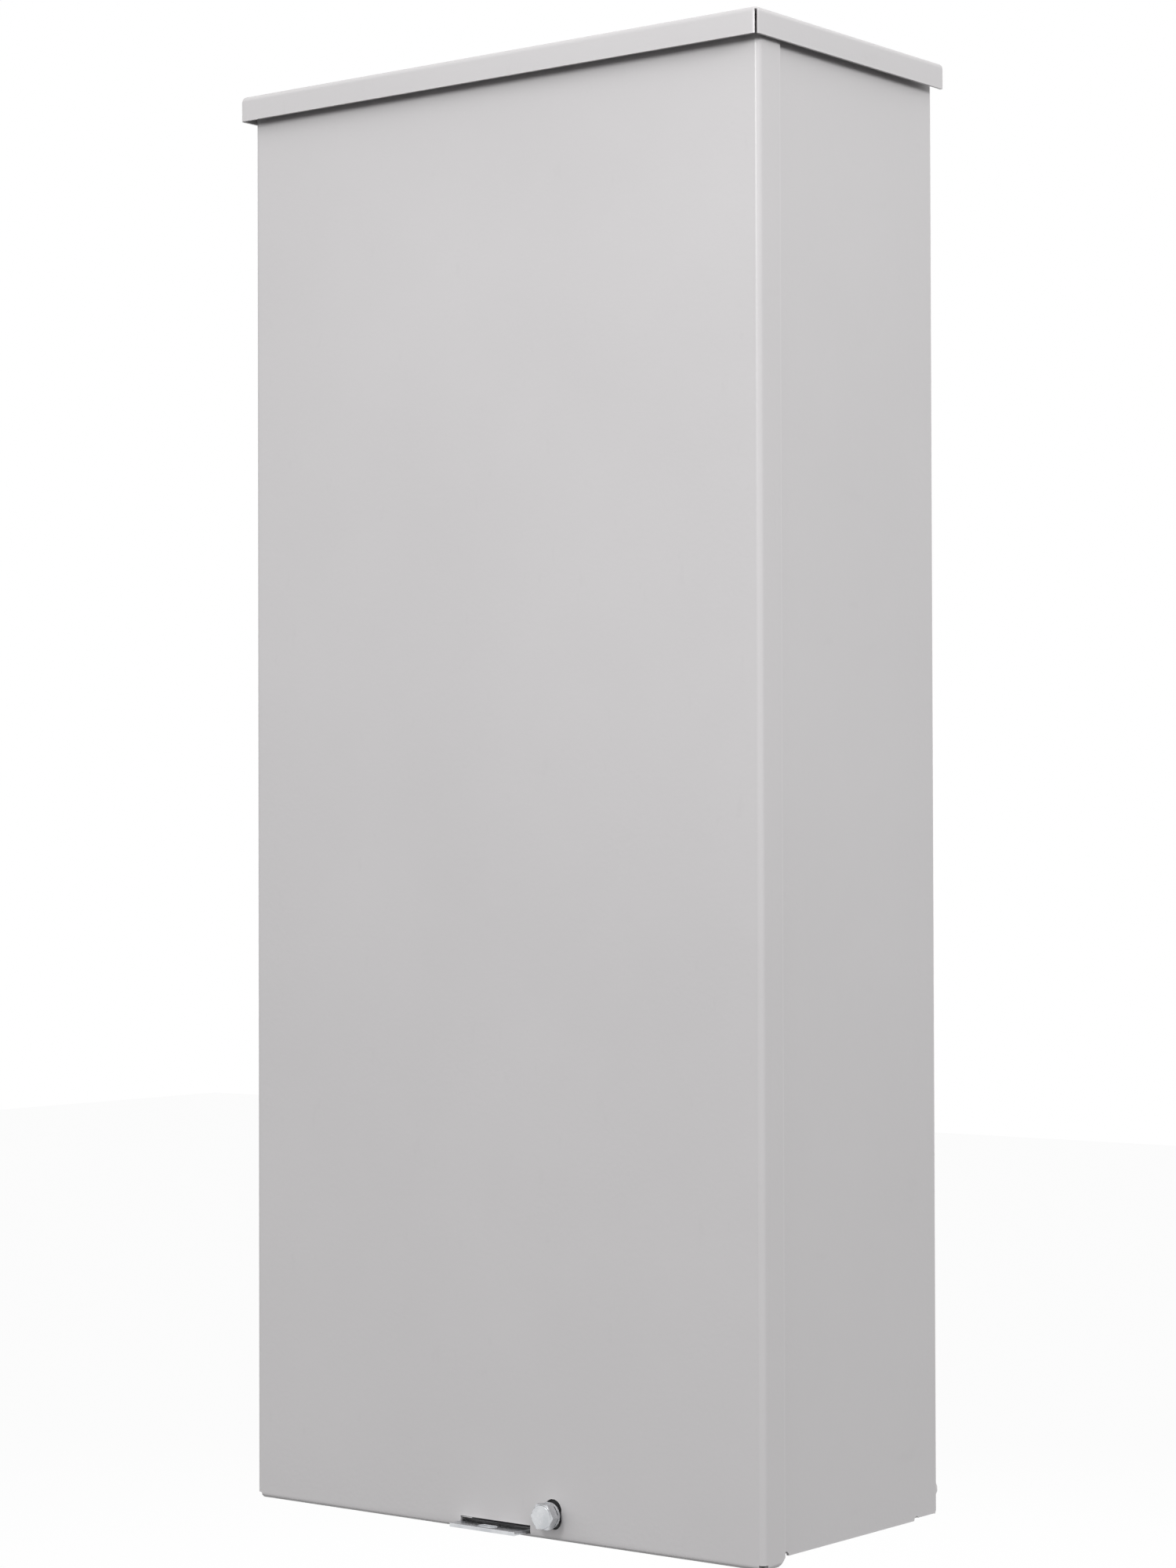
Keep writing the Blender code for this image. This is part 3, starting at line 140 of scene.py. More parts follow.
def sums(tree, operation, first, second=0.0, third=None):
    """A Math node's result."""
    made = add(tree, "Math", {"operation": operation}, _0=first, _1=second)
    if third is not None:
        plug(tree, made.inputs[2], third)
    return made.outputs[0]


def spread(tree, value, low, high, to_low=0.0, to_high=1.0):
    """Maps a range of a value to another range, clamped."""
    made = add(tree, "MapRange", Value=value, From_Min=low, From_Max=high)
    made.inputs["To Min"].default_value = to_low
    made.inputs["To Max"].default_value = to_high
    return made.outputs[0]


def seen_directly(tree):
    """1 on rays that show the backdrop, 0 on rays that only light the scene."""
    path = add(tree, "LightPath").outputs
    most = path["Is Camera Ray"]
    for other in ("Is Glossy Ray", "Is Transmission Ray"):
        most = sums(tree, "MAXIMUM", most, path[other])
    return most


world = bpy.data.worlds.new("studio")
bpy.context.scene.world = world
world.use_nodes = True
sky = world.node_tree
sky.nodes.clear()
steepness = add(sky, "SeparateXYZ", Vector=add(sky, "TexCoord").outputs["Generated"]).outputs["Z"]
rise = spread(sky, steepness, *HORIZON, AMBIENT_BELOW, AMBIENT_SIDES)
fall = spread(sky, steepness, *ZENITH, 1.0, AMBIENT_OVERHEAD)
light_only = add(sky, "Background", Color=WHITE, Strength=sums(sky, "MULTIPLY", rise, fall))
page = add(sky, "Background", Color=WHITE, Strength=1.0)
choice = add(sky, "MixShader", Fac=seen_directly(sky), _1=light_only.outputs[0], _2=page.outputs[0])
add(sky, "OutputWorld", Surface=choice.outputs[0])

bpy.ops.mesh.primitive_plane_add(size=FLOOR_WIDTH, location=(0, 0, cad_box[0][2] - FLOOR_DROP))
floor = bpy.context.object
floor.name = "studio_floor"
floor_paint = bpy.data.materials.new("floor_white")
floor_paint.use_nodes = True
tree = floor_paint.node_tree
tree.nodes.clear()
matt = add(tree, "BsdfDiffuse", Color=(FLOOR_MATT, FLOOR_MATT, FLOOR_MATT, 1))
glow = sums(tree, "MULTIPLY", seen_directly(tree), FLOOR_GLOW)
bright = add(tree, "Emission", Color=WHITE, Strength=glow)
both = add(tree, "AddShader", _0=matt.outputs[0], _1=bright.outputs[0])
add(tree, "OutputMaterial", Surface=both.outputs[0])
floor.data.materials.append(floor_paint)
floor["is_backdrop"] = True

# %% [markdown]
# Small lamps close to the cabinet give it its shape. The key stands in front of the cover and above the
# case, so each face is brighter at its top than at its foot, and the rounded corner between the faces
# catches a narrow highlight. The side lamp is smaller still, so the cap's lip throws a crisp thin shadow.
# It is left out of reflections, because they would flare along the cover. The rear lamp lights only the
# back and the left side.

# %% Lamps
LAMPS = {
    # name: (position, size in metres, power in watts)
    "key": ((0.10, -1.25, 0.64), 0.30, 5.3),
    "side": ((1.05, -0.45, 0.62), 0.22, 4.4),
    "rear": ((-1.30, 1.90, 0.90), 0.80, 16.0),
}
LAMP_TARGET = Vector((0, 0, 0.1))
for name, (spot, size, power) in LAMPS.items():
    lamp = bpy.data.lights.new(name, "AREA")
    lamp.size = size
    lamp.energy = power
    holder = bpy.data.objects.new(name, lamp)
    holder.location = spot
    holder.rotation_euler = (LAMP_TARGET - Vector(spot)).to_track_quat("-Z", "Y").to_euler()
    holder.visible_glossy = name != "side"
    bpy.context.scene.collection.objects.link(holder)
print(len(LAMPS), "lamps")

# %% [markdown]
# ## Shader building blocks
#
# Paint, plating and mouldings share the same few effects: a rippled skin, worn edges, settled dust,
# drawn streaks, a moulded grain. Each effect is a node group with named sockets, made once and placed in
# every material that needs it with its own values. A group gives out only masks and heights, and the
# material decides what they do to colour, roughness and bump.

# %% Group helper
SOCKETS = {"value": "NodeSocketFloat", "vector": "NodeSocketVector"}


def group(name, inputs, outputs):
    """A new shader node group, with the sockets that lead in and out of it."""
    made = bpy.data.node_groups.new(name, "ShaderNodeTree")
    for label, (kind, default) in inputs.items():
        socket = made.interface.new_socket(name=label, in_out="INPUT", socket_type=SOCKETS[kind])
        socket.default_value = default
    for label, kind in outputs.items():
        made.interface.new_socket(name=label, in_out="OUTPUT", socket_type=SOCKETS[kind])
    return made, made.nodes.new("NodeGroupInput").outputs, made.nodes.new("NodeGroupOutput").inputs


def noise(tree, where, scale, detail=2.0, roughness=0.5):
    """A noise texture's value, with its scale in cells per metre."""
    made = add(tree, "TexNoise", Vector=where, Scale=scale, Detail=detail, Roughness=roughness)
    return made.outputs["Fac"]


# %% [markdown]
# ** Edge wear and bend highlight.** Paint and plating are thinnest on a sharp edge, and hands and tools touch edges first. The
# Bevel node gives the normal that a rounded edge would have. Where it differs from the true normal, there
# is an edge. Noise breaks the mask up, because wear is never an even line. The paint also uses this mask,
# set wide, to lay a painted highlight along its bends.

# %% Edge wear and bend highlight group
edge_wear_and_highlight, given, out = group(
    "edge_wear_and_highlight",
    {"Vector": ("vector", (0, 0, 0)), "Width": ("value", 0.001), "Patchiness": ("value", 0.5)},
    {"Mask": "value"},
)
rounded_normal = add(edge_wear_and_highlight, "Bevel", {"samples": 4}, Radius=given["Width"]).outputs[0]
true_normal = add(edge_wear_and_highlight, "NewGeometry").outputs["Normal"]
same = add(
    edge_wear_and_highlight, "VectorMath", {"operation": "DOT_PRODUCT"}, _0=rounded_normal, _1=true_normal
).outputs["Value"]
edge = spread(edge_wear_and_highlight, sums(edge_wear_and_highlight, "SUBTRACT", 1.0, same), 0.02, 0.22)
patches = spread(edge_wear_and_highlight, noise(edge_wear_and_highlight, given["Vector"], 90.0, 3.0), 0.35, 0.62)
kept = sums(edge_wear_and_highlight, "SUBTRACT", 1.0, sums(edge_wear_and_highlight, "MULTIPLY", given["Patchiness"], patches))
edge_wear_and_highlight.links.new(sums(edge_wear_and_highlight, "MULTIPLY", edge, kept), out["Mask"])
print("edge wear group:", len(edge_wear_and_highlight.nodes), "nodes")

# %% [markdown]
# **Dust.** It settles on what faces up, and clings in a thin uneven film elsewhere. The upward part of the
# normal is the mask, and noise at two scales makes it patchy.

# %% Dust group
dust, given, out = group(
    "dust", {"Vector": ("vector", (0, 0, 0)), "Amount": ("value", 0.5)}, {"Mask": "value"}
)
up = add(dust, "SeparateXYZ", Vector=add(dust, "NewGeometry").outputs["Normal"]).outputs["Z"]
lying = spread(dust, up, 0.2, 1.0)
film = spread(dust, noise(dust, given["Vector"], 14.0, 5.0, 0.6), 0.3, 0.75)
specks = spread(dust, noise(dust, given["Vector"], 420.0, 1.0), 0.55, 0.7)
all_dust = sums(dust, "MULTIPLY_ADD", specks, 0.35, film)
dust.links.new(
    sums(dust, "MULTIPLY", given["Amount"], sums(dust, "MULTIPLY", lying, all_dust)), out["Mask"]
)
print("dust group:", len(dust.nodes), "nodes")

# %% [markdown]
# **Powder coat skin.** Baked powder flows out into a fine, shallow ripple that painters call orange peel,
# with cells about two millimetres across. Pressed sheet also has long, faint waves. Both go into one
# height, and a slow mottling goes into colour and roughness.

# %% Powder coat group
powder_skin, given, out = group(
    "powder_skin",
    {"Vector": ("vector", (0, 0, 0)), "Peel Size": ("value", 420.0), "Wave Size": ("value", 5.0)},
    {"Height": "value", "Mottle": "value", "Rub": "value"},
)
peel = noise(powder_skin, given["Vector"], given["Peel Size"], 1.0, 0.4)
wave = noise(powder_skin, given["Vector"], given["Wave Size"], 0.0)
powder_skin.links.new(sums(powder_skin, "MULTIPLY_ADD", wave, 9.0, peel), out["Height"])
powder_skin.links.new(noise(powder_skin, given["Vector"], 7.0, 4.0, 0.6), out["Mottle"])
stretched = add(
    powder_skin, "Mapping", Vector=given["Vector"], Rotation=(0.5, 0.2, 0.6), Scale=(150, 22, 60)
).outputs[0]
rubs = spread(powder_skin, noise(powder_skin, stretched, 1.0, 3.0), 0.66, 0.76)
powder_skin.links.new(rubs, out["Rub"])
print("powder coat group:", len(powder_skin.nodes), "nodes")

# %% [markdown]
# **Drawn streaks.** Rolled strip, bar and wire carry fine lines along the way they were drawn. A noise
# squeezed across one axis and stretched along another gives them. The stretch is an input, so each part
# can have its grain along its own length.

# %% Drawn streaks group
drawn_streaks, given, out = group(
    "drawn_streaks",
    {"Vector": ("vector", (0, 0, 0)), "Stretch": ("vector", (900.0, 40.0, 900.0))},
    {"Height": "value", "Cloud": "value"},
)
along = add(
    drawn_streaks, "VectorMath", {"operation": "MULTIPLY"}, _0=given["Vector"], _1=given["Stretch"]
).outputs[0]
drawn_streaks.links.new(noise(drawn_streaks, along, 1.0, 3.0, 0.7), out["Height"])
drawn_streaks.links.new(noise(drawn_streaks, given["Vector"], 60.0, 4.0, 0.6), out["Cloud"])

# %% [markdown]
# **Zinc spangle.** Hot-dipped zinc freezes in flat crystals, each with its own shade. A Voronoi texture's
# cells give each crystal one random value.

# %% Spangle group
zinc_spangle, given, out = group(
    "zinc_spangle",
    {"Vector": ("vector", (0, 0, 0)), "Crystals": ("value", 150.0)},
    {"Shade": "value", "Border": "value"},
)
bent = noise(zinc_spangle, given["Vector"], 180.0, 2.0)
UNEVEN = (0.004, 0.004, 0.004)  # how far, in metres, the crystals' borders wander
shifted = add(
    zinc_spangle, "VectorMath", {"operation": "MULTIPLY_ADD"}, _0=bent, _1=UNEVEN, _2=given["Vector"]
).outputs[0]
cells = add(zinc_spangle, "TexVoronoi", {"feature": "F1"}, Vector=shifted, Scale=given["Crystals"])
shade = add(zinc_spangle, "SeparateColor", Color=cells.outputs["Color"]).outputs["Red"]
zinc_spangle.links.new(shade, out["Shade"])
borders = add(
    zinc_spangle, "TexVoronoi", {"feature": "DISTANCE_TO_EDGE"}, Vector=shifted, Scale=given["Crystals"]
).outputs["Distance"]
zinc_spangle.links.new(spread(zinc_spangle, borders, 0.0, 0.09, 1.0, 0.0), out["Border"])

# %% [markdown]
# **Moulded grain.** A spark-eroded mould leaves a fine, even pebble on plastic, and flow marks vary the
# gloss slowly across the part.

# %% Moulded grain group
moulded_grain, given, out = group(
    "moulded_grain",
    {"Vector": ("vector", (0, 0, 0)), "Grain": ("value", 1600.0)},
    {"Height": "value", "Flow": "value"},
)
pebble = add(
    moulded_grain, "TexVoronoi", {"feature": "SMOOTH_F1"}, Vector=given["Vector"], Scale=given["Grain"]
)
moulded_grain.links.new(pebble.outputs["Distance"], out["Height"])
moulded_grain.links.new(noise(moulded_grain, given["Vector"], 35.0, 4.0, 0.55), out["Flow"])
print(len(bpy.data.node_groups), "groups")

# %% [markdown]
# ## Finishes
#
# Every finish starts the same way: a material with one Principled shader and the object's own
# coordinates, so that the pattern stays on the part when the part moves.


# %% Material helpers
def start(name, **sockets):
    """A material with one Principled shader. Returns it with its tree, its shader and its coordinates."""
    made = bpy.data.materials.new(name)
    made.use_nodes = True
    tree = made.node_tree
    tree.nodes.clear()
    shader = add(tree, "BsdfPrincipled", **sockets)
    add(tree, "OutputMaterial", Surface=shader.outputs[0])
    return made, tree, shader, add(tree, "TexCoord").outputs["Object"]


def place(tree, made, **inputs):
    """Puts a node group into a material."""
    return add(tree, "Group", {"node_tree": made}, **inputs).outputs


def blend(tree, factor, first, second):
    """Mixes two colours. Each is a socket or a linear colour."""
    first, second = (
        colour if isinstance(colour, bpy.types.NodeSocket) else (*colour, 1.0) for colour in (first, second)
    )
    made = add(tree, "Mix", {"data_type": "RGBA"}, Factor=factor, _6=first, _7=second)
    return made.outputs[2]


def scaled(colour, by, plus=0.0):
    """A colour made lighter or darker, kept below white."""
    return [min(1, c * by + plus) for c in colour]


def masked(tree, mask, amount, base, over):
    """Lays a colour over another where a mask is, as strongly as the amount says."""
    return blend(tree, sums(tree, "MULTIPLY", mask, amount), base, over)


def bump(tree, shader, height, metres, strength=1.0):
    """Feeds a height into the shader's normal."""
    made = add(tree, "Bump", Strength=strength, Distance=metres, Height=height)
    tree.links.new(made.outputs[0], shader.inputs["Normal"])


def linear(red, green, blue):
    """A colour as it is usually written, from 0 to 255, made linear for the shader."""
    shares = (red / 255, green / 255, blue / 255)
    return tuple(v / 12.92 if v <= 0.04045 else ((v + 0.055) / 1.055) ** 2.4 for v in shares)


FINISHES = {}

# %% [markdown]
# ** Light grey powder coat** covers the whole case, cover and cap. It is a warm-neutral grey, satin rather
# than glossy, so broad light rolls over the bends without sharp reflections. Paler paint along the bends
# is a painted highlight. Wear is slight: this is a new cabinet, with only its arrises a little paler and a
# few faint rubs.


# %% Paint
def grey_paint(name, colour, rough):
    """Baked powder coat: mottled and rippled, with a painted highlight along its bends and paler worn edges,
    faintly rubbed and dusty.
    """
    made, tree, shader, where = start(name, IOR=1.5)
    skin = place(tree, powder_skin, Vector=where)
    worn = place(tree, edge_wear_and_highlight, Vector=where, Width=0.0009, Patchiness=0.7)["Mask"]
    settled = place(tree, dust, Vector=where, Amount=0.5)["Mask"]
    # Painted highlight: a wide edge mask that makes the paint paler along its bends, where rounded corners
    # would catch light.
    painted_bend_highlight = place(tree, edge_wear_and_highlight, Vector=where, Width=0.0024, Patchiness=0.1)["Mask"]
    base = blend(tree, spread(tree, skin["Mottle"], 0.3, 0.7), scaled(colour, 0.978), scaled(colour, 1.015))
    # The painted bend highlight is laid over the paint here.
    base = masked(tree, painted_bend_highlight, 0.6, base, scaled(colour, 1.15))
    base = masked(tree, worn, 0.35, base, scaled(colour, 1.18))
    base = masked(tree, skin["Rub"], 0.12, base, scaled(colour, 0.86))
    base = masked(tree, settled, 0.35, base, linear(186, 180, 168))
    tree.links.new(base, shader.inputs["Base Color"])
    gloss = spread(tree, skin["Mottle"], 0.25, 0.75, rough - 0.03, rough + 0.04)
    gloss = sums(tree, "MULTIPLY_ADD", skin["Rub"], 0.07, gloss)
    tree.links.new(sums(tree, "MULTIPLY_ADD", settled, 0.3, gloss), shader.inputs["Roughness"])
    bump(tree, shader, skin["Height"], 0.00009, 0.55)
    return made


PAINT_GREY = linear(202, 200, 201)
FINISHES["light_grey_paint"] = grey_paint("light_grey_powder_coat", PAINT_GREY, rough=0.34)
print("paint", [round(c, 3) for c in PAINT_GREY])

# %% [markdown]
# **Metals.** Zinc plate is bright with a blue cast, galvanised sheet shows crystals, copper darkens where
# hands have touched it, and aluminium bar keeps its saw and drawing lines. They share the streaks, and
# each adds its own.


# %% Metals
def drawn_metal(name, colour, dull, rough, stretch):
    """Bar, strip or plated metal, clouded between a bright and a dull colour, with fine drawn lines."""
    made, tree, shader, where = start(name, Metallic=1.0)
    lines = place(tree, drawn_streaks, Vector=where, Stretch=stretch)
    worn = place(tree, edge_wear_and_highlight, Vector=where, Width=0.0006, Patchiness=0.6)["Mask"]
    base = blend(tree, spread(tree, lines["Cloud"], 0.35, 0.7), colour, dull)
    base = masked(tree, worn, 0.4, base, scaled(colour, 1.12))
    tree.links.new(base, shader.inputs["Base Color"])
    gloss = spread(tree, lines["Cloud"], 0.3, 0.75, rough - 0.06, rough + 0.12)
    tree.links.new(sums(tree, "MULTIPLY_ADD", lines["Height"], 0.08, gloss), shader.inputs["Roughness"])
    bump(tree, shader, lines["Height"], 0.00002, 0.6)
    return made


def spangled_sheet(name):
    """Galvanised sheet: zinc crystals over faint rolling lines."""
    made, tree, shader, where = start(name, Metallic=1.0)
    crystals = place(tree, zinc_spangle, Vector=where, Crystals=130.0)
    lines = place(tree, drawn_streaks, Vector=where, Stretch=(60.0, 60.0, 900.0))
    base = blend(tree, crystals["Shade"], linear(168, 172, 176), linear(205, 208, 210))
    base = masked(tree, crystals["Border"], 0.25, base, linear(140, 144, 148))
    tree.links.new(base, shader.inputs["Base Color"])
    tree.links.new(spread(tree, crystals["Shade"], 0.0, 1.0, 0.34, 0.55), shader.inputs["Roughness"])
    bump(tree, shader, lines["Height"], 0.00001, 0.5)
    return made


FINISHES["zinc_plate"] = drawn_metal(
    "zinc_plate", linear(224, 225, 227), linear(186, 189, 193), rough=0.21, stretch=(900, 60, 60)
)
FINISHES["galvanised_sheet"] = spangled_sheet("galvanised_sheet")
FINISHES["copper"] = drawn_metal(
    "copper_bar", linear(214, 142, 108), linear(168, 98, 70), rough=0.3, stretch=(60, 900, 900)
)
FINISHES["aluminium"] = drawn_metal(
    "aluminium_bar", linear(214, 215, 216), linear(186, 188, 190), rough=0.36, stretch=(900, 900, 50)
)

# %% [markdown]
# **Mouldings.** Thermoplastic is even in colour with a fine pebble. Phenolic is pressed from powder, so it
# is darker, glossier and slightly marbled. The relay on the board and the grip of the hand lever are the
# strongest colours inside.


# %% Mouldings
def moulding(name, colour, rough, grain=1600.0, depth=0.00003, marble=0.12):
    """Moulded plastic, with its grain in cells per metre and its marbling as a share of its colour."""
    made, tree, shader, where = start(name)
    skin = place(tree, moulded_grain, Vector=where, Grain=grain)
    worn = place(tree, edge_wear_and_highlight, Vector=where, Width=0.0005, Patchiness=0.5)["Mask"]
    settled = place(tree, dust, Vector=where, Amount=0.35)["Mask"]
    dark, light = scaled(colour, 1 - marble), scaled(colour, 1 + marble, 0.002)
    base = blend(tree, spread(tree, skin["Flow"], 0.3, 0.7), dark, light)
    base = masked(tree, worn, 0.3, base, scaled(colour, 1.4, 0.02))
    base = masked(tree, settled, 0.3, base, linear(150, 144, 134))
    tree.links.new(base, shader.inputs["Base Color"])
    gloss = spread(tree, skin["Flow"], 0.3, 0.7, rough - 0.05, rough + 0.07)
    tree.links.new(sums(tree, "MULTIPLY_ADD", settled, 0.3, gloss), shader.inputs["Roughness"])
    bump(tree, shader, skin["Height"], depth, 0.6)
    return made


FINISHES["black_moulding"] = moulding("black_moulding", linear(38, 38, 40), 0.46)
FINISHES["brown_phenolic"] = moulding("brown_phenolic", linear(78, 46, 34), 0.36, grain=700.0, marble=0.3)
FINISHES["white_plastic"] = moulding("white_nylon", linear(226, 223, 212), 0.42, marble=0.03)
FINISHES["relay_blue"] = moulding("relay_blue", linear(34, 84, 158), 0.34, marble=0.06)
FINISHES["red_grip"] = moulding("red_vinyl", linear(168, 26, 24), 0.38, grain=500.0, marble=0.08)
print(sorted(FINISHES))

# %% [markdown]
# **Parts with more than one look in a single solid.** A winding shows its wraps of tape, the clear guard has
# faint flow lines, and the circuit board shows tracks and pads on its green mask. A fuse is a ceramic tube
# between two plated caps, which are laid out from the part's own measurements.


# %% Winding tape, clear guard, circuit board and fuse
def axis_bands(tree, where, axis, pitch, sharp=0.5):
    """A ridge height that repeats along one axis, for windings, wraps and ribs."""
    along_axis = add(tree, "SeparateXYZ", Vector=where).outputs[axis]
    turn = sums(tree, "MULTIPLY", along_axis, 2 * math.pi / pitch)
    return spread(tree, sums(tree, "SINE", turn), -sharp, sharp + 0.5)


def winding_tape():
    made, tree, shader, where = start("winding_tape", Coat_Weight=0.25, Coat_Roughness=0.2)
    skin = place(tree, moulded_grain, Vector=where, Grain=300.0)
    bands = axis_bands(tree, where, "Z", 0.0052, 0.9)
    base = blend(tree, bands, linear(96, 62, 14), linear(196, 142, 44))
    base = blend(tree, spread(tree, skin["Flow"], 0.4, 0.75, 0.0, 0.5), base, linear(120, 80, 24))
    tree.links.new(base, shader.inputs["Base Color"])
    tree.links.new(spread(tree, skin["Flow"], 0.3, 0.7, 0.28, 0.42), shader.inputs["Roughness"])
    bump(tree, shader, sums(tree, "MULTIPLY_ADD", bands, 4.0, skin["Height"]), 0.00006, 0.8)
    return made


def clear_guard():
    made, tree, shader, where = start("clear_polycarbonate", IOR=1.58, Transmission_Weight=1.0)
    skin = place(tree, moulded_grain, Vector=where, Grain=60.0)
    lines = place(tree, drawn_streaks, Vector=where, Stretch=(30.0, 260.0, 700.0))
    tree.links.new(
        blend(tree, spread(tree, skin["Flow"], 0.3, 0.7), linear(236, 242, 244), linear(224, 234, 238)),
        shader.inputs["Base Color"],
    )
    tree.links.new(spread(tree, lines["Height"], 0.35, 0.75, 0.03, 0.14), shader.inputs["Roughness"])
    bump(tree, shader, skin["Flow"], 0.0002, 0.3)
    return made


def circuit_board():
    made, tree, shader, where = start("circuit_board", Coat_Weight=0.5, Coat_Roughness=0.12)
    turned_up = add(tree, "Mapping", Vector=where, Rotation=(math.pi / 2, 0, 0)).outputs[0]
    tracks = add(
        tree, "TexBrick", {"offset": 0.37, "squash": 0.6, "squash_frequency": 3}, Vector=turned_up,
        Scale=1.0, Mortar_Size=0.00035, Mortar_Smooth=0.2, Brick_Width=0.0125, Row_Height=0.0027,
    ).outputs["Fac"]
    holes = add(tree, "TexVoronoi", Vector=turned_up, Scale=260.0, Randomness=0.35).outputs["Distance"]
    pads = spread(tree, holes, 0.12, 0.18, 1.0, 0.0)
    skin = place(tree, moulded_grain, Vector=where, Grain=900.0)
    base = blend(tree, spread(tree, skin["Flow"], 0.3, 0.7), linear(12, 74, 42), linear(18, 88, 50))
    base = blend(tree, tracks, base, linear(58, 132, 74))
    base = blend(tree, pads, base, linear(204, 200, 186))
    tree.links.new(base, shader.inputs["Base Color"])
    tree.links.new(pads, shader.inputs["Metallic"])
    tree.links.new(spread(tree, pads, 0.0, 1.0, 0.42, 0.25), shader.inputs["Roughness"])
    bump(tree, shader, sums(tree, "ADD", tracks, pads), 0.00004, 0.7)
    return made


def capped_tube():
    """A fuse: plated caps at both ends, and a pale ceramic tube between them."""
    made, tree, shader, where = start("fuse_tube_and_caps")
    low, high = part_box("fuse_1")
    middle, cap_from = (low.x + high.x) / 2, (high.x - low.x) / 2 - 0.0086
    along_tube = sums(tree, "SUBTRACT", add(tree, "SeparateXYZ", Vector=where).outputs["X"], middle)
    caps = spread(tree, sums(tree, "ABSOLUTE", along_tube), cap_from - 0.0001, cap_from + 0.0001)
    lines = place(tree, drawn_streaks, Vector=where, Stretch=(60.0, 900.0, 900.0))
    tube = blend(tree, lines["Cloud"], linear(214, 206, 186), linear(228, 222, 206))
    base = blend(tree, caps, tube, blend(tree, lines["Cloud"], linear(206, 206, 204), linear(178, 178, 176)))
    tree.links.new(base, shader.inputs["Base Color"])
    tree.links.new(caps, shader.inputs["Metallic"])
    tree.links.new(spread(tree, lines["Height"], 0.3, 0.7, 0.22, 0.36), shader.inputs["Roughness"])
    bump(tree, shader, lines["Height"], 0.00002, 0.5)
    return made


FINISHES["coil_tape"] = winding_tape()
FINISHES["clear_guard"] = clear_guard()
FINISHES["circuit_board"] = circuit_board()
FINISHES["fuse_tube"] = capped_tube()

# %% [markdown]
# ## Dressing the CAD parts
#
# The record says which finish each part takes. A CAD mesh has perfectly sharp corners, which catch no
# light and look false. A small angle-limited Bevel softens them, after a Weld that joins the split corners
# of the imported mesh, and Weighted Normal keeps the big faces flat. The widths here are the most that a
# rounding may have: on a part with very short edges, such as the cover and the cap, the Bevel's clamp keeps
# it far below that, and the bends of the sheet itself catch the light.


# %% Finishes and soft edges on every CAD part
SLOT_OF = {entry["node"]: entry["material_slot"] for entry in frame["record"]["subparts"]}
EDGE_SIZE = {"front_cover": 0.0004, "rain_cap": 0.0004, "enclosure_wrap": 0.0004, "handle_grip": 0.0012}
OTHER_EDGES = 0.00025


def soften(piece, width, angle=35, weld=True):
    """Small rounded edges and clean shading, without touching the mesh itself."""
    piece.data.shade_smooth()
    if weld:
        piece.modifiers.new("weld", "WELD").merge_threshold = 0.00001
    rounding = piece.modifiers.new("soft_edges", "BEVEL")
    rounding.width = width
    rounding.segments = 2
    rounding.limit_method = "ANGLE"
    rounding.angle_limit = math.radians(angle)
    rounding.use_clamp_overlap = True
    piece.modifiers.new("flat_faces", "WEIGHTED_NORMAL").weight = 90


for name, node in nodes.items():
    finish = FINISHES[SLOT_OF[name]]
    for holder in node.material_slots:
        holder.material = finish
    soften(node, EDGE_SIZE.get(name, OTHER_EDGES))
print(len(nodes), "CAD parts dressed in", len(set(SLOT_OF.values())), "finishes")

# %% [markdown]
# ## Small pieces
#
# The CAD model carries the shapes that fit and move. What it leaves out is the small work that makes
# a cabinet look built: a seal, a screw thread, wires and ties, screw heads with slots, parts on the board.
# Each piece is made in mesh code, sits at a place measured from a CAD part, and rides on the body that it
# belongs to. Two shapes do most of the work: a turned shape and a straight prism.

# %% Mesh helpers
X, Y, Z = Vector((1, 0, 0)), Vector((0, 1, 0)), Vector((0, 0, 1))
AXES = {"-Y": (X, Z, -Y), "Y": (X, Z, Y), "Z": (X, Y, Z), "-Z": (X, Y, -Z), "-X": (Y, Z, -X)}
PIECES = []


def circle(count, turn=0.0):
    """Angles at even steps round a circle."""
    return [turn + 2 * math.pi * i / count for i in range(count)]


def lofted(work, rings, looped=False):
    """Joins rings of points into one skin, which closes on itself or has a face at each end."""
    made = [[work.verts.new(point) for point in ring] for ring in rings]
    count = len(made[0])
    for near, far in zip(made, made[1:] + (made[:1] if looped else [])):
        for i in range(count):
            work.faces.new((near[i], near[(i + 1) % count], far[(i + 1) % count], far[i]))
    if not looped:
        work.faces.new(made[0])
        work.faces.new(made[-1])


def turned(work, foot, profile, axis="-Y", sides=20, turn=0.0):
    """A turned shape: a list of (radius, height) from its foot along an axis."""
    across, other, along = AXES[axis]
    ways = [across * math.cos(a) + other * math.sin(a) for a in circle(sides, turn)]
    centres = [(Vector(foot) + along * height, radius) for radius, height in profile]
    lofted(work, [[centre + radius * way for way in ways] for centre, radius in centres])


def prism(work, foot, outline, low, high, axis="-Y"):
    """A straight prism: an outline in the plane across an axis, from one height to another."""
    across, other, along = AXES[axis]
    flat = [Vector(foot) + across * u + other * v for u, v in outline]
    lofted(work, [[point + along * height for point in flat] for height in (low, high)])


def bar(work, low, high):
    """A plain bar between two corners, used inside larger pieces."""
    (x0, y0, z0), (x1, y1, z1) = low, high
    prism(work, (0, 0, 0), [(x0, y0), (x1, y0), (x1, y1), (x0, y1)], z0, z1, axis="Z")


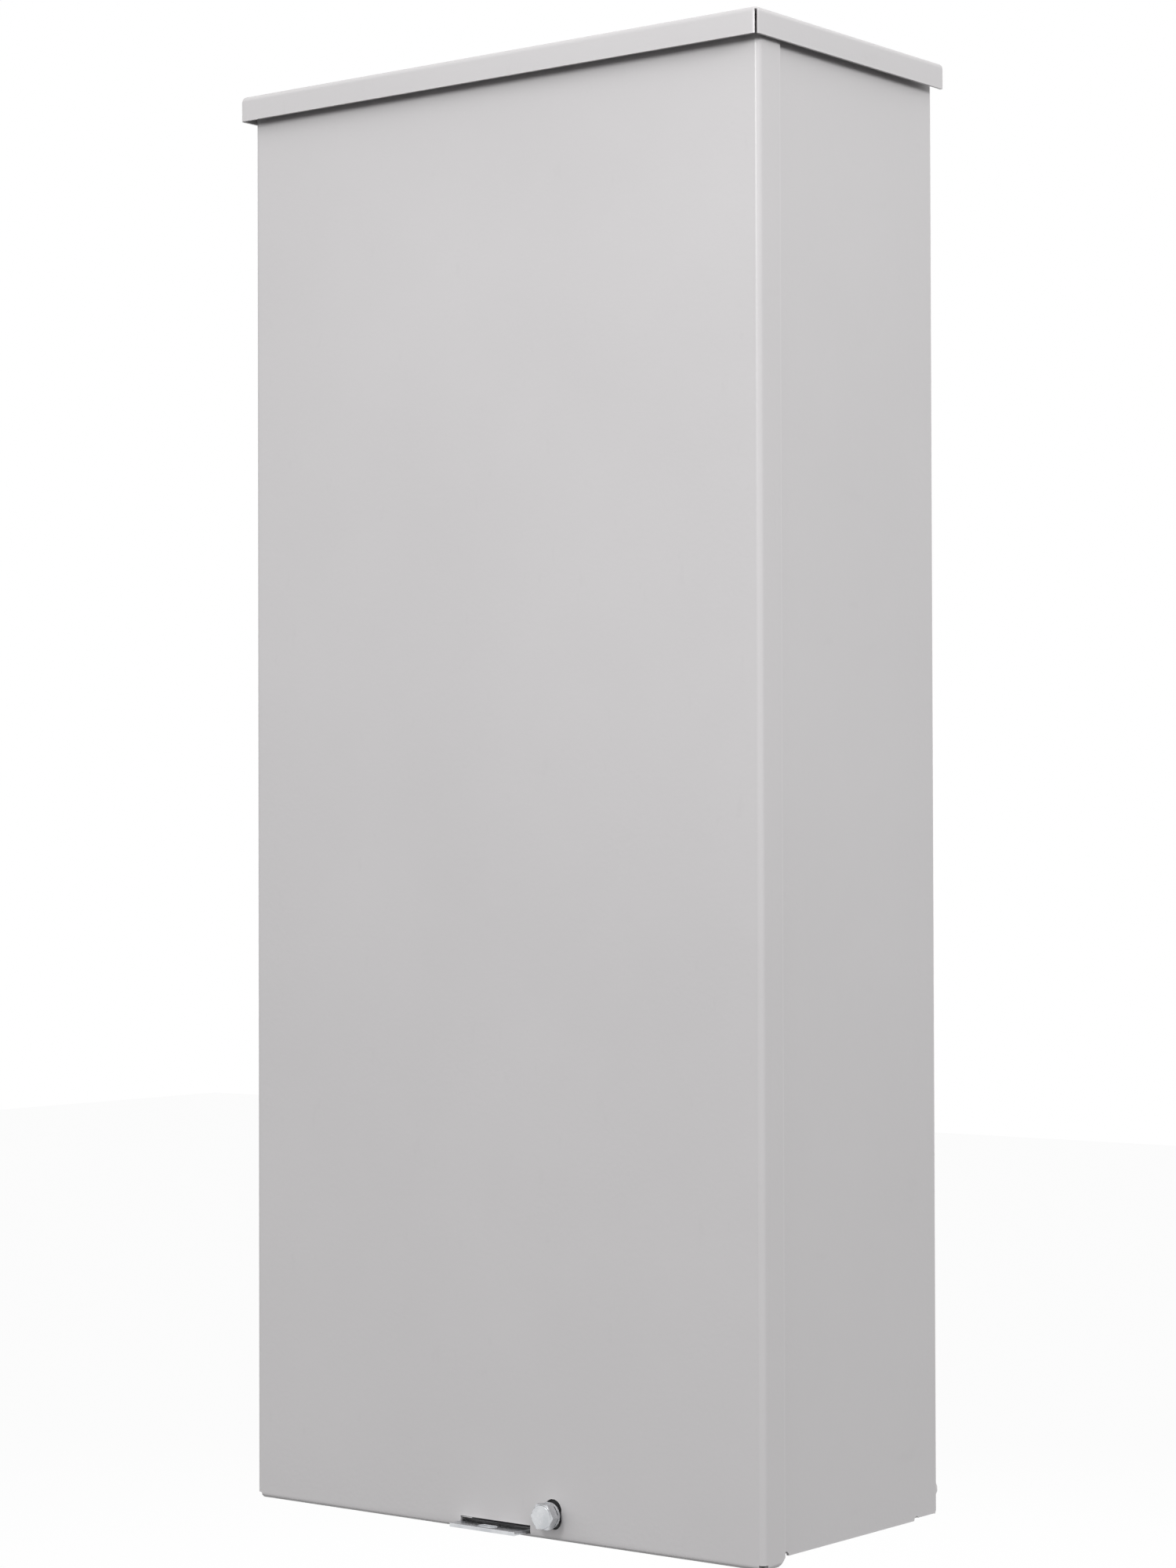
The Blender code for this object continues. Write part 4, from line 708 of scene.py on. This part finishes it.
def hoop(work, centre, section, axis):
    """A closed ring: a section of (radius, height) points, swept round an axis."""
    across, other, along = AXES[axis]
    rings = []
    for a in circle(24):
        way = across * math.cos(a) + other * math.sin(a)
        rings.append([Vector(centre) + way * radius + along * height for radius, height in section])
    lofted(work, rings, looped=True)


def slotted_head(work, foot, radius, height, slot):
    """A round screw head with a driver slot: two D shapes that stand on a thin disc."""
    turned(work, foot, [(radius, 0), (radius, height * 0.45), (radius * 0.9, height * 0.46)], sides=16)
    edge_angle = math.asin(slot / 2 / radius)
    for side in (0, math.pi):
        sweep = [side + edge_angle + (math.pi - 2 * edge_angle) * i / 8 for i in range(9)]
        outline = [(0.93 * radius * math.cos(a), 0.93 * radius * math.sin(a)) for a in sweep]
        prism(work, foot, outline, height * 0.4, height)


def piece(name, build, finish, body, slot, edge=0.00015):
    """Makes a piece from its build function, finishes it, and lets it ride on a body."""
    work = bmesh.new()
    build(work)
    bmesh.ops.recalc_face_normals(work, faces=work.faces)
    mesh = bpy.data.meshes.new(name)
    work.to_mesh(mesh)
    work.free()
    made = bpy.data.objects.new(name, mesh)
    bpy.context.scene.collection.objects.link(made)
    mesh.materials.append(FINISHES[finish])
    soften(made, edge, weld=False)
    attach(made, body)
    PIECES.append(made)
    print(name, len(mesh.polygons), "faces on", body)


# %% [markdown]
# **Cover seal.** A closed-cell foam strip is stuck to the inside of the cover, where it meets the turned-in
# front edges of the case. It is a half-round strip with tiny open pores, and the matt black only foam has.


# %% Foam seal on the cover
def foam():
    made, tree, shader, where = start("closed_cell_foam")
    cells = add(tree, "TexVoronoi", {"feature": "F1"}, Vector=where, Scale=1900.0)
    skin = place(tree, moulded_grain, Vector=where, Grain=500.0)
    pores = spread(tree, cells.outputs["Distance"], 0.15, 0.5)
    base = blend(tree, pores, linear(16, 16, 17), linear(44, 44, 46))
    base = blend(tree, spread(tree, skin["Flow"], 0.45, 0.8, 0.0, 0.4), base, linear(58, 57, 56))
    tree.links.new(base, shader.inputs["Base Color"])
    tree.links.new(spread(tree, pores, 0.0, 1.0, 0.95, 0.8), shader.inputs["Roughness"])
    bump(tree, shader, pores, 0.0002, 0.8)
    return made


FINISHES["foam"] = foam()
wrap_low, wrap_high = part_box("enclosure_wrap")
COVER_SHEET = 0.0015
SEAL_THICK = 0.0007
SEAL_WIDTH = 0.0064
SEAL_INSET = 0.0075  # from the side of the case to the middle of the strip
SEAL_FREE_BELOW = 0.030
SEAL_FREE_ABOVE = 0.020


def cover_seal(work):
    inner = cover_low.y + COVER_SHEET
    half_round = [
        (SEAL_WIDTH / 2 * math.cos(a), SEAL_THICK * math.sin(a)) for a in [math.pi * i / 8 for i in range(9)]
    ]
    for side in (-1, 1):
        foot = (side * (wrap_high.x - SEAL_INSET), inner, 0)
        prism(work, foot, half_round, wrap_low.z + SEAL_FREE_BELOW, wrap_high.z - SEAL_FREE_ABOVE, axis="Z")


piece("cover_seal", cover_seal, "foam", "cover", "black_moulding", 0.0001)

# %% [markdown]
# **Thread of the cover screw.** The ridge is a three-sided section swept along a helix, at the real
# pitch of an 18-thread screw. It is low enough to pass the retaining ring when the screw is backed out.

# %% Screw thread
screw_low, screw_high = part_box("cover_screw")
SCREW_AXIS = Vector(((screw_low.x + screw_high.x) / 2, 0, (screw_low.z + screw_high.z) / 2))
PITCH = 0.001411
STEPS = 18  # sections in one turn
FADE_STEPS = 6  # over which the ridge grows at its start and shrinks at its end
THREAD_ROOT = 0.0038  # just inside the shank
THREAD_CREST = 0.0039
RIDGE_HEIGHT = 0.00028
RIDGE_HALF_WIDTH = 0.00045


def thread(work):
    first = screw_high.y - 0.0006
    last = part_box("screw_retainer")[1].y + 0.0004
    steps = ((first - last) / PITCH - 0.6) * STEPS
    rings = []
    for i in range(int(steps) + 1):
        angle = 2 * math.pi * i / STEPS
        fade = max(0.05, min(1.0, i / FADE_STEPS, (steps - i) / FADE_STEPS))
        y = first - PITCH * (i / STEPS + 0.3)
        way = X * math.cos(angle) + Z * math.sin(angle)
        section = (
            (THREAD_ROOT, y + RIDGE_HALF_WIDTH),
            (THREAD_CREST + RIDGE_HEIGHT * fade, y),
            (THREAD_ROOT, y - RIDGE_HALF_WIDTH),
        )
        rings.append([SCREW_AXIS + way * radius + Y * place_y for radius, place_y in section])
    lofted(work, rings)


piece("screw_thread", thread, "zinc_plate", "screw", "zinc_plate", 0.00005)

# %% [markdown]
# **Screw heads with slots.** The neutral bar, the ground bar and the terminal strip clamp their wires under
# small slotted screws. The head is a disc with two D shapes on it, so the slot between them has a real
# floor.

# %% Slotted screws on bars and strip
strip_low, strip_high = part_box("terminal_strip")
ground_low, ground_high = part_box("ground_bar")
neutral_low, neutral_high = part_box("neutral_bar")
WAYS = 6
WAY_PITCH = (strip_high.x - strip_low.x) / WAYS
STRIP_ROWS = (0.007, 0.019)  # heights of its two rows of screws
STRIP_DEEP = 0.0048  # from the tops of the barriers down to the metal
BAR_PITCH = 0.014
GROUND_SCREWS = 8
NEUTRAL_SCREWS = 9
SUNK = 0.0003  # how far a head is let into the metal under it
STRIP_HEAD = (0.0034, 0.0018, 0.0007)  # radius, height and width of the slot
BAR_HEAD = (0.0040, 0.0016, 0.0008)
PAN_HEAD = (0.0038, 0.0024, 0.0009)


def way_x(way):
    """The middle of one way of the terminal strip."""
    return strip_low.x + (way + 0.5) * WAY_PITCH


def strip_screws(work):
    for way in range(WAYS):
        for row in STRIP_ROWS:
            slotted_head(work, (way_x(way), strip_low.y + STRIP_DEEP, strip_low.z + row), *STRIP_HEAD)


def bar_screws(work):
    ground_z = (ground_low.z + ground_high.z) / 2
    for step in range(1, GROUND_SCREWS + 1):
        slotted_head(work, (ground_low.x + step * BAR_PITCH, ground_low.y + SUNK, ground_z), *BAR_HEAD)
    neutral_x = (neutral_low.x + neutral_high.x) / 2
    first_z = neutral_low.z + 0.024
    for step in range(NEUTRAL_SCREWS):
        slotted_head(work, (neutral_x, neutral_low.y + SUNK, first_z + step * BAR_PITCH), *BAR_HEAD)


piece("strip_screws", strip_screws, "zinc_plate", "cabinet", "zinc_plate")
piece("bar_screws", bar_screws, "zinc_plate", "cabinet", "zinc_plate")

# %% [markdown]
# **Bolts of the switch.** Each copper strap is bolted down where it leaves the switch, four pan-head screws
# hold the moulded base, and a hex bolt holds the hand lever on its shaft.

# %% Bolts
base_low, base_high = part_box("switch_base")
strap_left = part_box("utility_contact_left")
strap_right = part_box("utility_contact_right")
front_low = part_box("dead_front")[0]
shaft_low, shaft_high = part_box("switch_shaft")
STRAP_THICK = 0.003
BOLT_RADIUS = 0.0055
CORNER_INSET = 0.007


def hex_bolt(work, foot, axis="-Y"):
    """A hex head with a chamfered top, on a flat washer."""
    radius = BOLT_RADIUS
    turned(work, foot, [(radius * 1.25, 0), (radius * 1.25, 0.0009), (radius * 1.15, 0.0011)], axis, 24)
    turned(work, foot, [(radius, 0.001), (radius, 0.0042), (radius * 0.82, 0.0048)], axis, 6, math.pi / 6)


def strap_bolts(work):
    strap_face = strap_left[1].y - STRAP_THICK
    height = (base_high.z + front_low.z) / 2
    for low, high in (strap_left, strap_right):
        hex_bolt(work, ((low.x + high.x) / 2, strap_face, height))


def base_screws(work):
    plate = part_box("utility_coil_frame")[1].y
    for x in (base_low.x + CORNER_INSET, base_high.x - CORNER_INSET):
        for z in (base_low.z + CORNER_INSET, base_high.z - CORNER_INSET):
            slotted_head(work, (x, plate + SUNK, z), *PAN_HEAD)


def lever_bolt(work):
    centre = (shaft_low.x, (shaft_low.y + shaft_high.y) / 2, (shaft_low.z + shaft_high.z) / 2)
    hex_bolt(work, centre, "-X")


piece("strap_bolts", strap_bolts, "zinc_plate", "cabinet", "zinc_plate")
piece("base_screws", base_screws, "zinc_plate", "cabinet", "zinc_plate")
piece("lever_bolt", lever_bolt, "zinc_plate", "mover", "zinc_plate")

# %% [markdown]
# **Marks by the breaker's handle.** A line for on and a ring for off are the generic signs on any switch.
# They stand a little proud of the escutcheon, above and below the slot that the toggle moves in.

# %% On and off signs
face_low, face_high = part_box("breaker_face")
SIGN_X = -0.0205  # left of the toggle's slot
SIGN_SUNK = 0.0001
SIGN_PROUD = 0.0002
LINE_HALF_WIDTH = 0.0005
LINE_FOOT = 0.008  # above the middle of the escutcheon
LINE_HEAD = 0.013
RING_BELOW = 0.0105
RING_INNER = 0.0022
RING_OUTER = 0.0030


def switch_signs(work):
    middle = (face_low.z + face_high.z) / 2
    back, front = face_low.y + SIGN_SUNK, face_low.y - SIGN_PROUD
    bar(
        work,
        (SIGN_X - LINE_HALF_WIDTH, front, middle + LINE_FOOT),
        (SIGN_X + LINE_HALF_WIDTH, back, middle + LINE_HEAD),
    )
    section = ((RING_INNER, back), (RING_OUTER, back), (RING_OUTER, front), (RING_INNER, front))
    hoop(work, (SIGN_X, 0, middle - RING_BELOW), section, "Y")


piece("switch_signs", switch_signs, "white_plastic", "cabinet", "white_plastic", 0.00003)

# %% [markdown]
# **Parts on the board.** Chips, resistors and indicator lamps fill the green board between its terminal
# block and its relay. They are laid out in rows, as a pick-and-place machine leaves them.

# %% Board parts
board_low, board_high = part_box("control_board")
BOARD_FACE = board_high.y - 0.0016
CHIPS = (  # each chip's left edge, foot, width and height on the board
    (0.008, 0.062, 0.006, 0.005),
    (0.036, 0.056, 0.005, 0.010),
    (0.009, 0.034, 0.009, 0.004),
)
CHIP_THICK = 0.0017
CHIP_GAP = 0.0002
LEG_PITCH = 0.0013
LEG = (0.0004, 0.0006, 0.0009)  # across, out of the board and along
RESISTORS = 5
RESISTOR_PITCH = 0.0062
RESISTOR_PROFILE = [  # radius and height from one end to the other: two bulges with a waist between them
    (0.0004, 0), (0.0009, 0.0004), (0.0009, 0.0011), (0.0007, 0.0018),
    (0.0007, 0.0042), (0.0009, 0.0049), (0.0009, 0.0056), (0.0004, 0.006),
]
LAMP_PLACES = (0.006, 0.0115, 0.017)
LAMP_PROFILE = [
    (0.0016, 0), (0.0016, 0.0006), (0.0013, 0.0007),
    (0.0013, 0.0022), (0.0010, 0.0031), (0.0004, 0.0035),
]


def chips(work):
    for left, foot, wide, tall in CHIPS:
        x, z = board_low.x + left, board_low.z + foot
        bar(work, (x, BOARD_FACE - CHIP_THICK, z), (x + wide, BOARD_FACE - CHIP_GAP, z + tall))


def chip_legs(work):
    across, out_of_board, along = LEG
    for left, foot, wide, tall in CHIPS:
        for edge in (foot - along, foot + tall):
            for leg in range(int(wide / LEG_PITCH)):
                x, z = board_low.x + left + 0.0006 + leg * LEG_PITCH, board_low.z + edge
                bar(work, (x, BOARD_FACE - out_of_board, z), (x + across, BOARD_FACE, z + along))


def resistors(work):
    for row in range(RESISTORS):
        foot = (board_low.x + 0.0317, BOARD_FACE - 0.0011, board_low.z + 0.084 + row * RESISTOR_PITCH)
        turned(work, foot, RESISTOR_PROFILE, "-X", 12)


def lamps(work):
    for place_x in LAMP_PLACES:
        turned(work, (board_low.x + place_x, BOARD_FACE, board_low.z + 0.080), LAMP_PROFILE, sides=16)


FINISHES["resistor_tan"] = moulding("resistor_tan", linear(196, 168, 122), 0.4, marble=0.06)
FINISHES["lamp_red"] = moulding("indicator_red", linear(186, 30, 26), 0.18, marble=0.04)
piece("board_chips", chips, "black_moulding", "cabinet", "black_moulding", 0.0001)
piece("chip_legs", chip_legs, "zinc_plate", "cabinet", "zinc_plate", 0.00003)
piece("board_resistors", resistors, "resistor_tan", "cabinet", "coil_tape", 0.00005)
piece("board_lamps", lamps, "lamp_red", "cabinet", "red_grip", 0.00005)

# %% [markdown]
# **Coil wires.** Four thin wires run from the two solenoids down beside the switch, over the panel and to
# the terminal strip. Each is a smooth curve through a few points, with a round bevel. They keep behind the
# moving shaft and clear of the straps. White ties hold the black bundle of the board together.

# %% Coil wires and ties
panel_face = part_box("mounting_panel")[0].y
utility_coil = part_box("utility_coil")
standby_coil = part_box("standby_coil")
WIRE_RADIUS = 0.0009
WIRE_OFF_PANEL = 0.0022  # from the face of the panel to the middle of a wire
LANE_PITCH = 0.0021
LANE_X = -0.0212  # between the coils and the left-hand contacts
LANE_Y = -0.0302
WIRE_COLOURS = {
    "wire_yellow": linear(214, 178, 44),
    "wire_blue": linear(38, 74, 150),
    "wire_white": linear(224, 222, 214),
    "wire_black": linear(30, 30, 32),
}
for name, colour in WIRE_COLOURS.items():
    FINISHES[name] = moulding(name, colour, 0.36, grain=2400.0, depth=0.000015, marble=0.05)


def wire(name, points, finish):
    """A smooth round wire through its points."""
    data = bpy.data.curves.new(name, "CURVE")
    data.dimensions = "3D"
    data.bevel_depth = WIRE_RADIUS
    data.bevel_resolution = 3
    data.use_fill_caps = True
    data.resolution_u = 6
    spline = data.splines.new("BEZIER")
    spline.bezier_points.add(len(points) - 1)
    for knot, point in zip(spline.bezier_points, points):
        knot.co = point
        knot.handle_left_type = knot.handle_right_type = "AUTO"
    made = bpy.data.objects.new(name, data)
    bpy.context.scene.collection.objects.link(made)
    data.materials.append(FINISHES[finish])
    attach(made, "cabinet")
    PIECES.append(made)


def coil_route(coil, left, out, way):
    """From a coil's side down its own lane, over the panel and into one way of the terminal strip."""
    low, high = coil
    x, y = LANE_X - left * LANE_PITCH, LANE_Y - out * LANE_PITCH
    start_z = (low.z + high.z) / 2
    over_panel = panel_face - WIRE_OFF_PANEL - out * LANE_PITCH
    end_x = way_x(way)
    return [
        (-0.0150, low.y + 0.026, start_z),
        (x + 0.002, low.y + 0.034, start_z - 0.004),
        (x, y - 0.008, start_z - 0.012),
        (x, y, start_z - 0.022),
        (x, y, base_low.z + 0.020),
        (x - 0.001, y + 0.001, base_low.z - 0.004),
        (x - 0.006, over_panel, base_low.z - 0.024),
        (LANE_X - 0.020, over_panel, base_low.z - 0.060),
        (LANE_X - 0.038, over_panel, strip_high.z + 0.052 - left * LANE_PITCH),
        (end_x + 0.010, over_panel, strip_high.z + 0.024),
        (end_x, over_panel - 0.003, strip_high.z + 0.008),
        (end_x, strip_low.y + 0.0065, strip_high.z - 0.002),
    ]


wire("coil_wire_1", coil_route(utility_coil, 0, 0, 5), "wire_yellow")
wire("coil_wire_2", coil_route(utility_coil, 0, 1, 4), "wire_blue")
wire("coil_wire_3", coil_route(standby_coil, 1, 0, 3), "wire_white")
wire("coil_wire_4", coil_route(standby_coil, 1, 1, 2), "wire_black")

bundle_low, bundle_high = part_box("control_harness")
TIES = ((-0.1262, 0.014), (-0.1308, 0.044), (-0.1245, 0.068))  # across, and down from the bundle's top
TIE_BAND = ((0.0030, -0.0011), (0.00328, -0.0011), (0.00328, 0.0011), (0.0030, 0.0011))
TIE_LOCK = Vector((0.0018, 0.0017, 0.0016))


def harness_ties(work):
    middle_y = (bundle_low.y + bundle_high.y) / 2
    for x, down in TIES:
        z = bundle_high.z - down
        hoop(work, (x, middle_y, z), TIE_BAND, "Z")
        lock_y = middle_y - 0.0030
        bar(
            work,
            (x - TIE_LOCK.x, lock_y - TIE_LOCK.y, z - TIE_LOCK.z),
            (x + TIE_LOCK.x, lock_y, z + TIE_LOCK.z),
        )


piece("harness_ties", harness_ties, "white_plastic", "cabinet", "white_plastic", 0.0001)

# %% [markdown]
# **Marks of making.** Spot welds leave shallow round dimples where the end trays are joined to the back
# of the case. They are low and painted over, so they show only when light rakes across them. Two plated
# rivets hold the padlock tab under the bottom tray.

# %% Weld marks and rivets
tray_low, tray_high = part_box("enclosure_bottom")
hasp_low, hasp_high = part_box("hasp_tab")
BACK = tray_high.y + 0.0018  # the outer face of the back of the case
WELD_PLACES = (-0.100, -0.050, 0.0, 0.050, 0.100)
WELD_MARK = [(0.0030, -0.0002), (0.0030, 0.00005), (0.0026, 0.00016), (0.0012, 0.00004)]
RIVET_INSET = 0.010
RIVET_HEAD = [(0.0034, 0), (0.0033, 0.0006), (0.0026, 0.0012), (0.0013, 0.0015)]


def weld_marks(work):
    for x in WELD_PLACES:
        for z in (tray_low.z + 0.0075, wrap_high.z - 0.014):
            turned(work, (x, BACK, z), WELD_MARK, "Y")


def hasp_rivets(work):
    for x in (hasp_low.x + RIVET_INSET, hasp_high.x - RIVET_INSET):
        turned(work, (x, hasp_high.y - 0.008, hasp_low.z + SUNK), RIVET_HEAD, "-Z")


piece("weld_marks", weld_marks, "light_grey_paint", "cabinet", "light_grey_paint", 0.00003)
piece("hasp_rivets", hasp_rivets, "zinc_plate", "cabinet", "zinc_plate", 0.00005)
print(len(PIECES), "pieces in all")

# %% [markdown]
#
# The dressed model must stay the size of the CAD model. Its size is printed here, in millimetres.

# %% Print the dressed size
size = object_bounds()
print("visual size", [round(1000 * (b - a), 1) for a, b in zip(*size)], "mm")
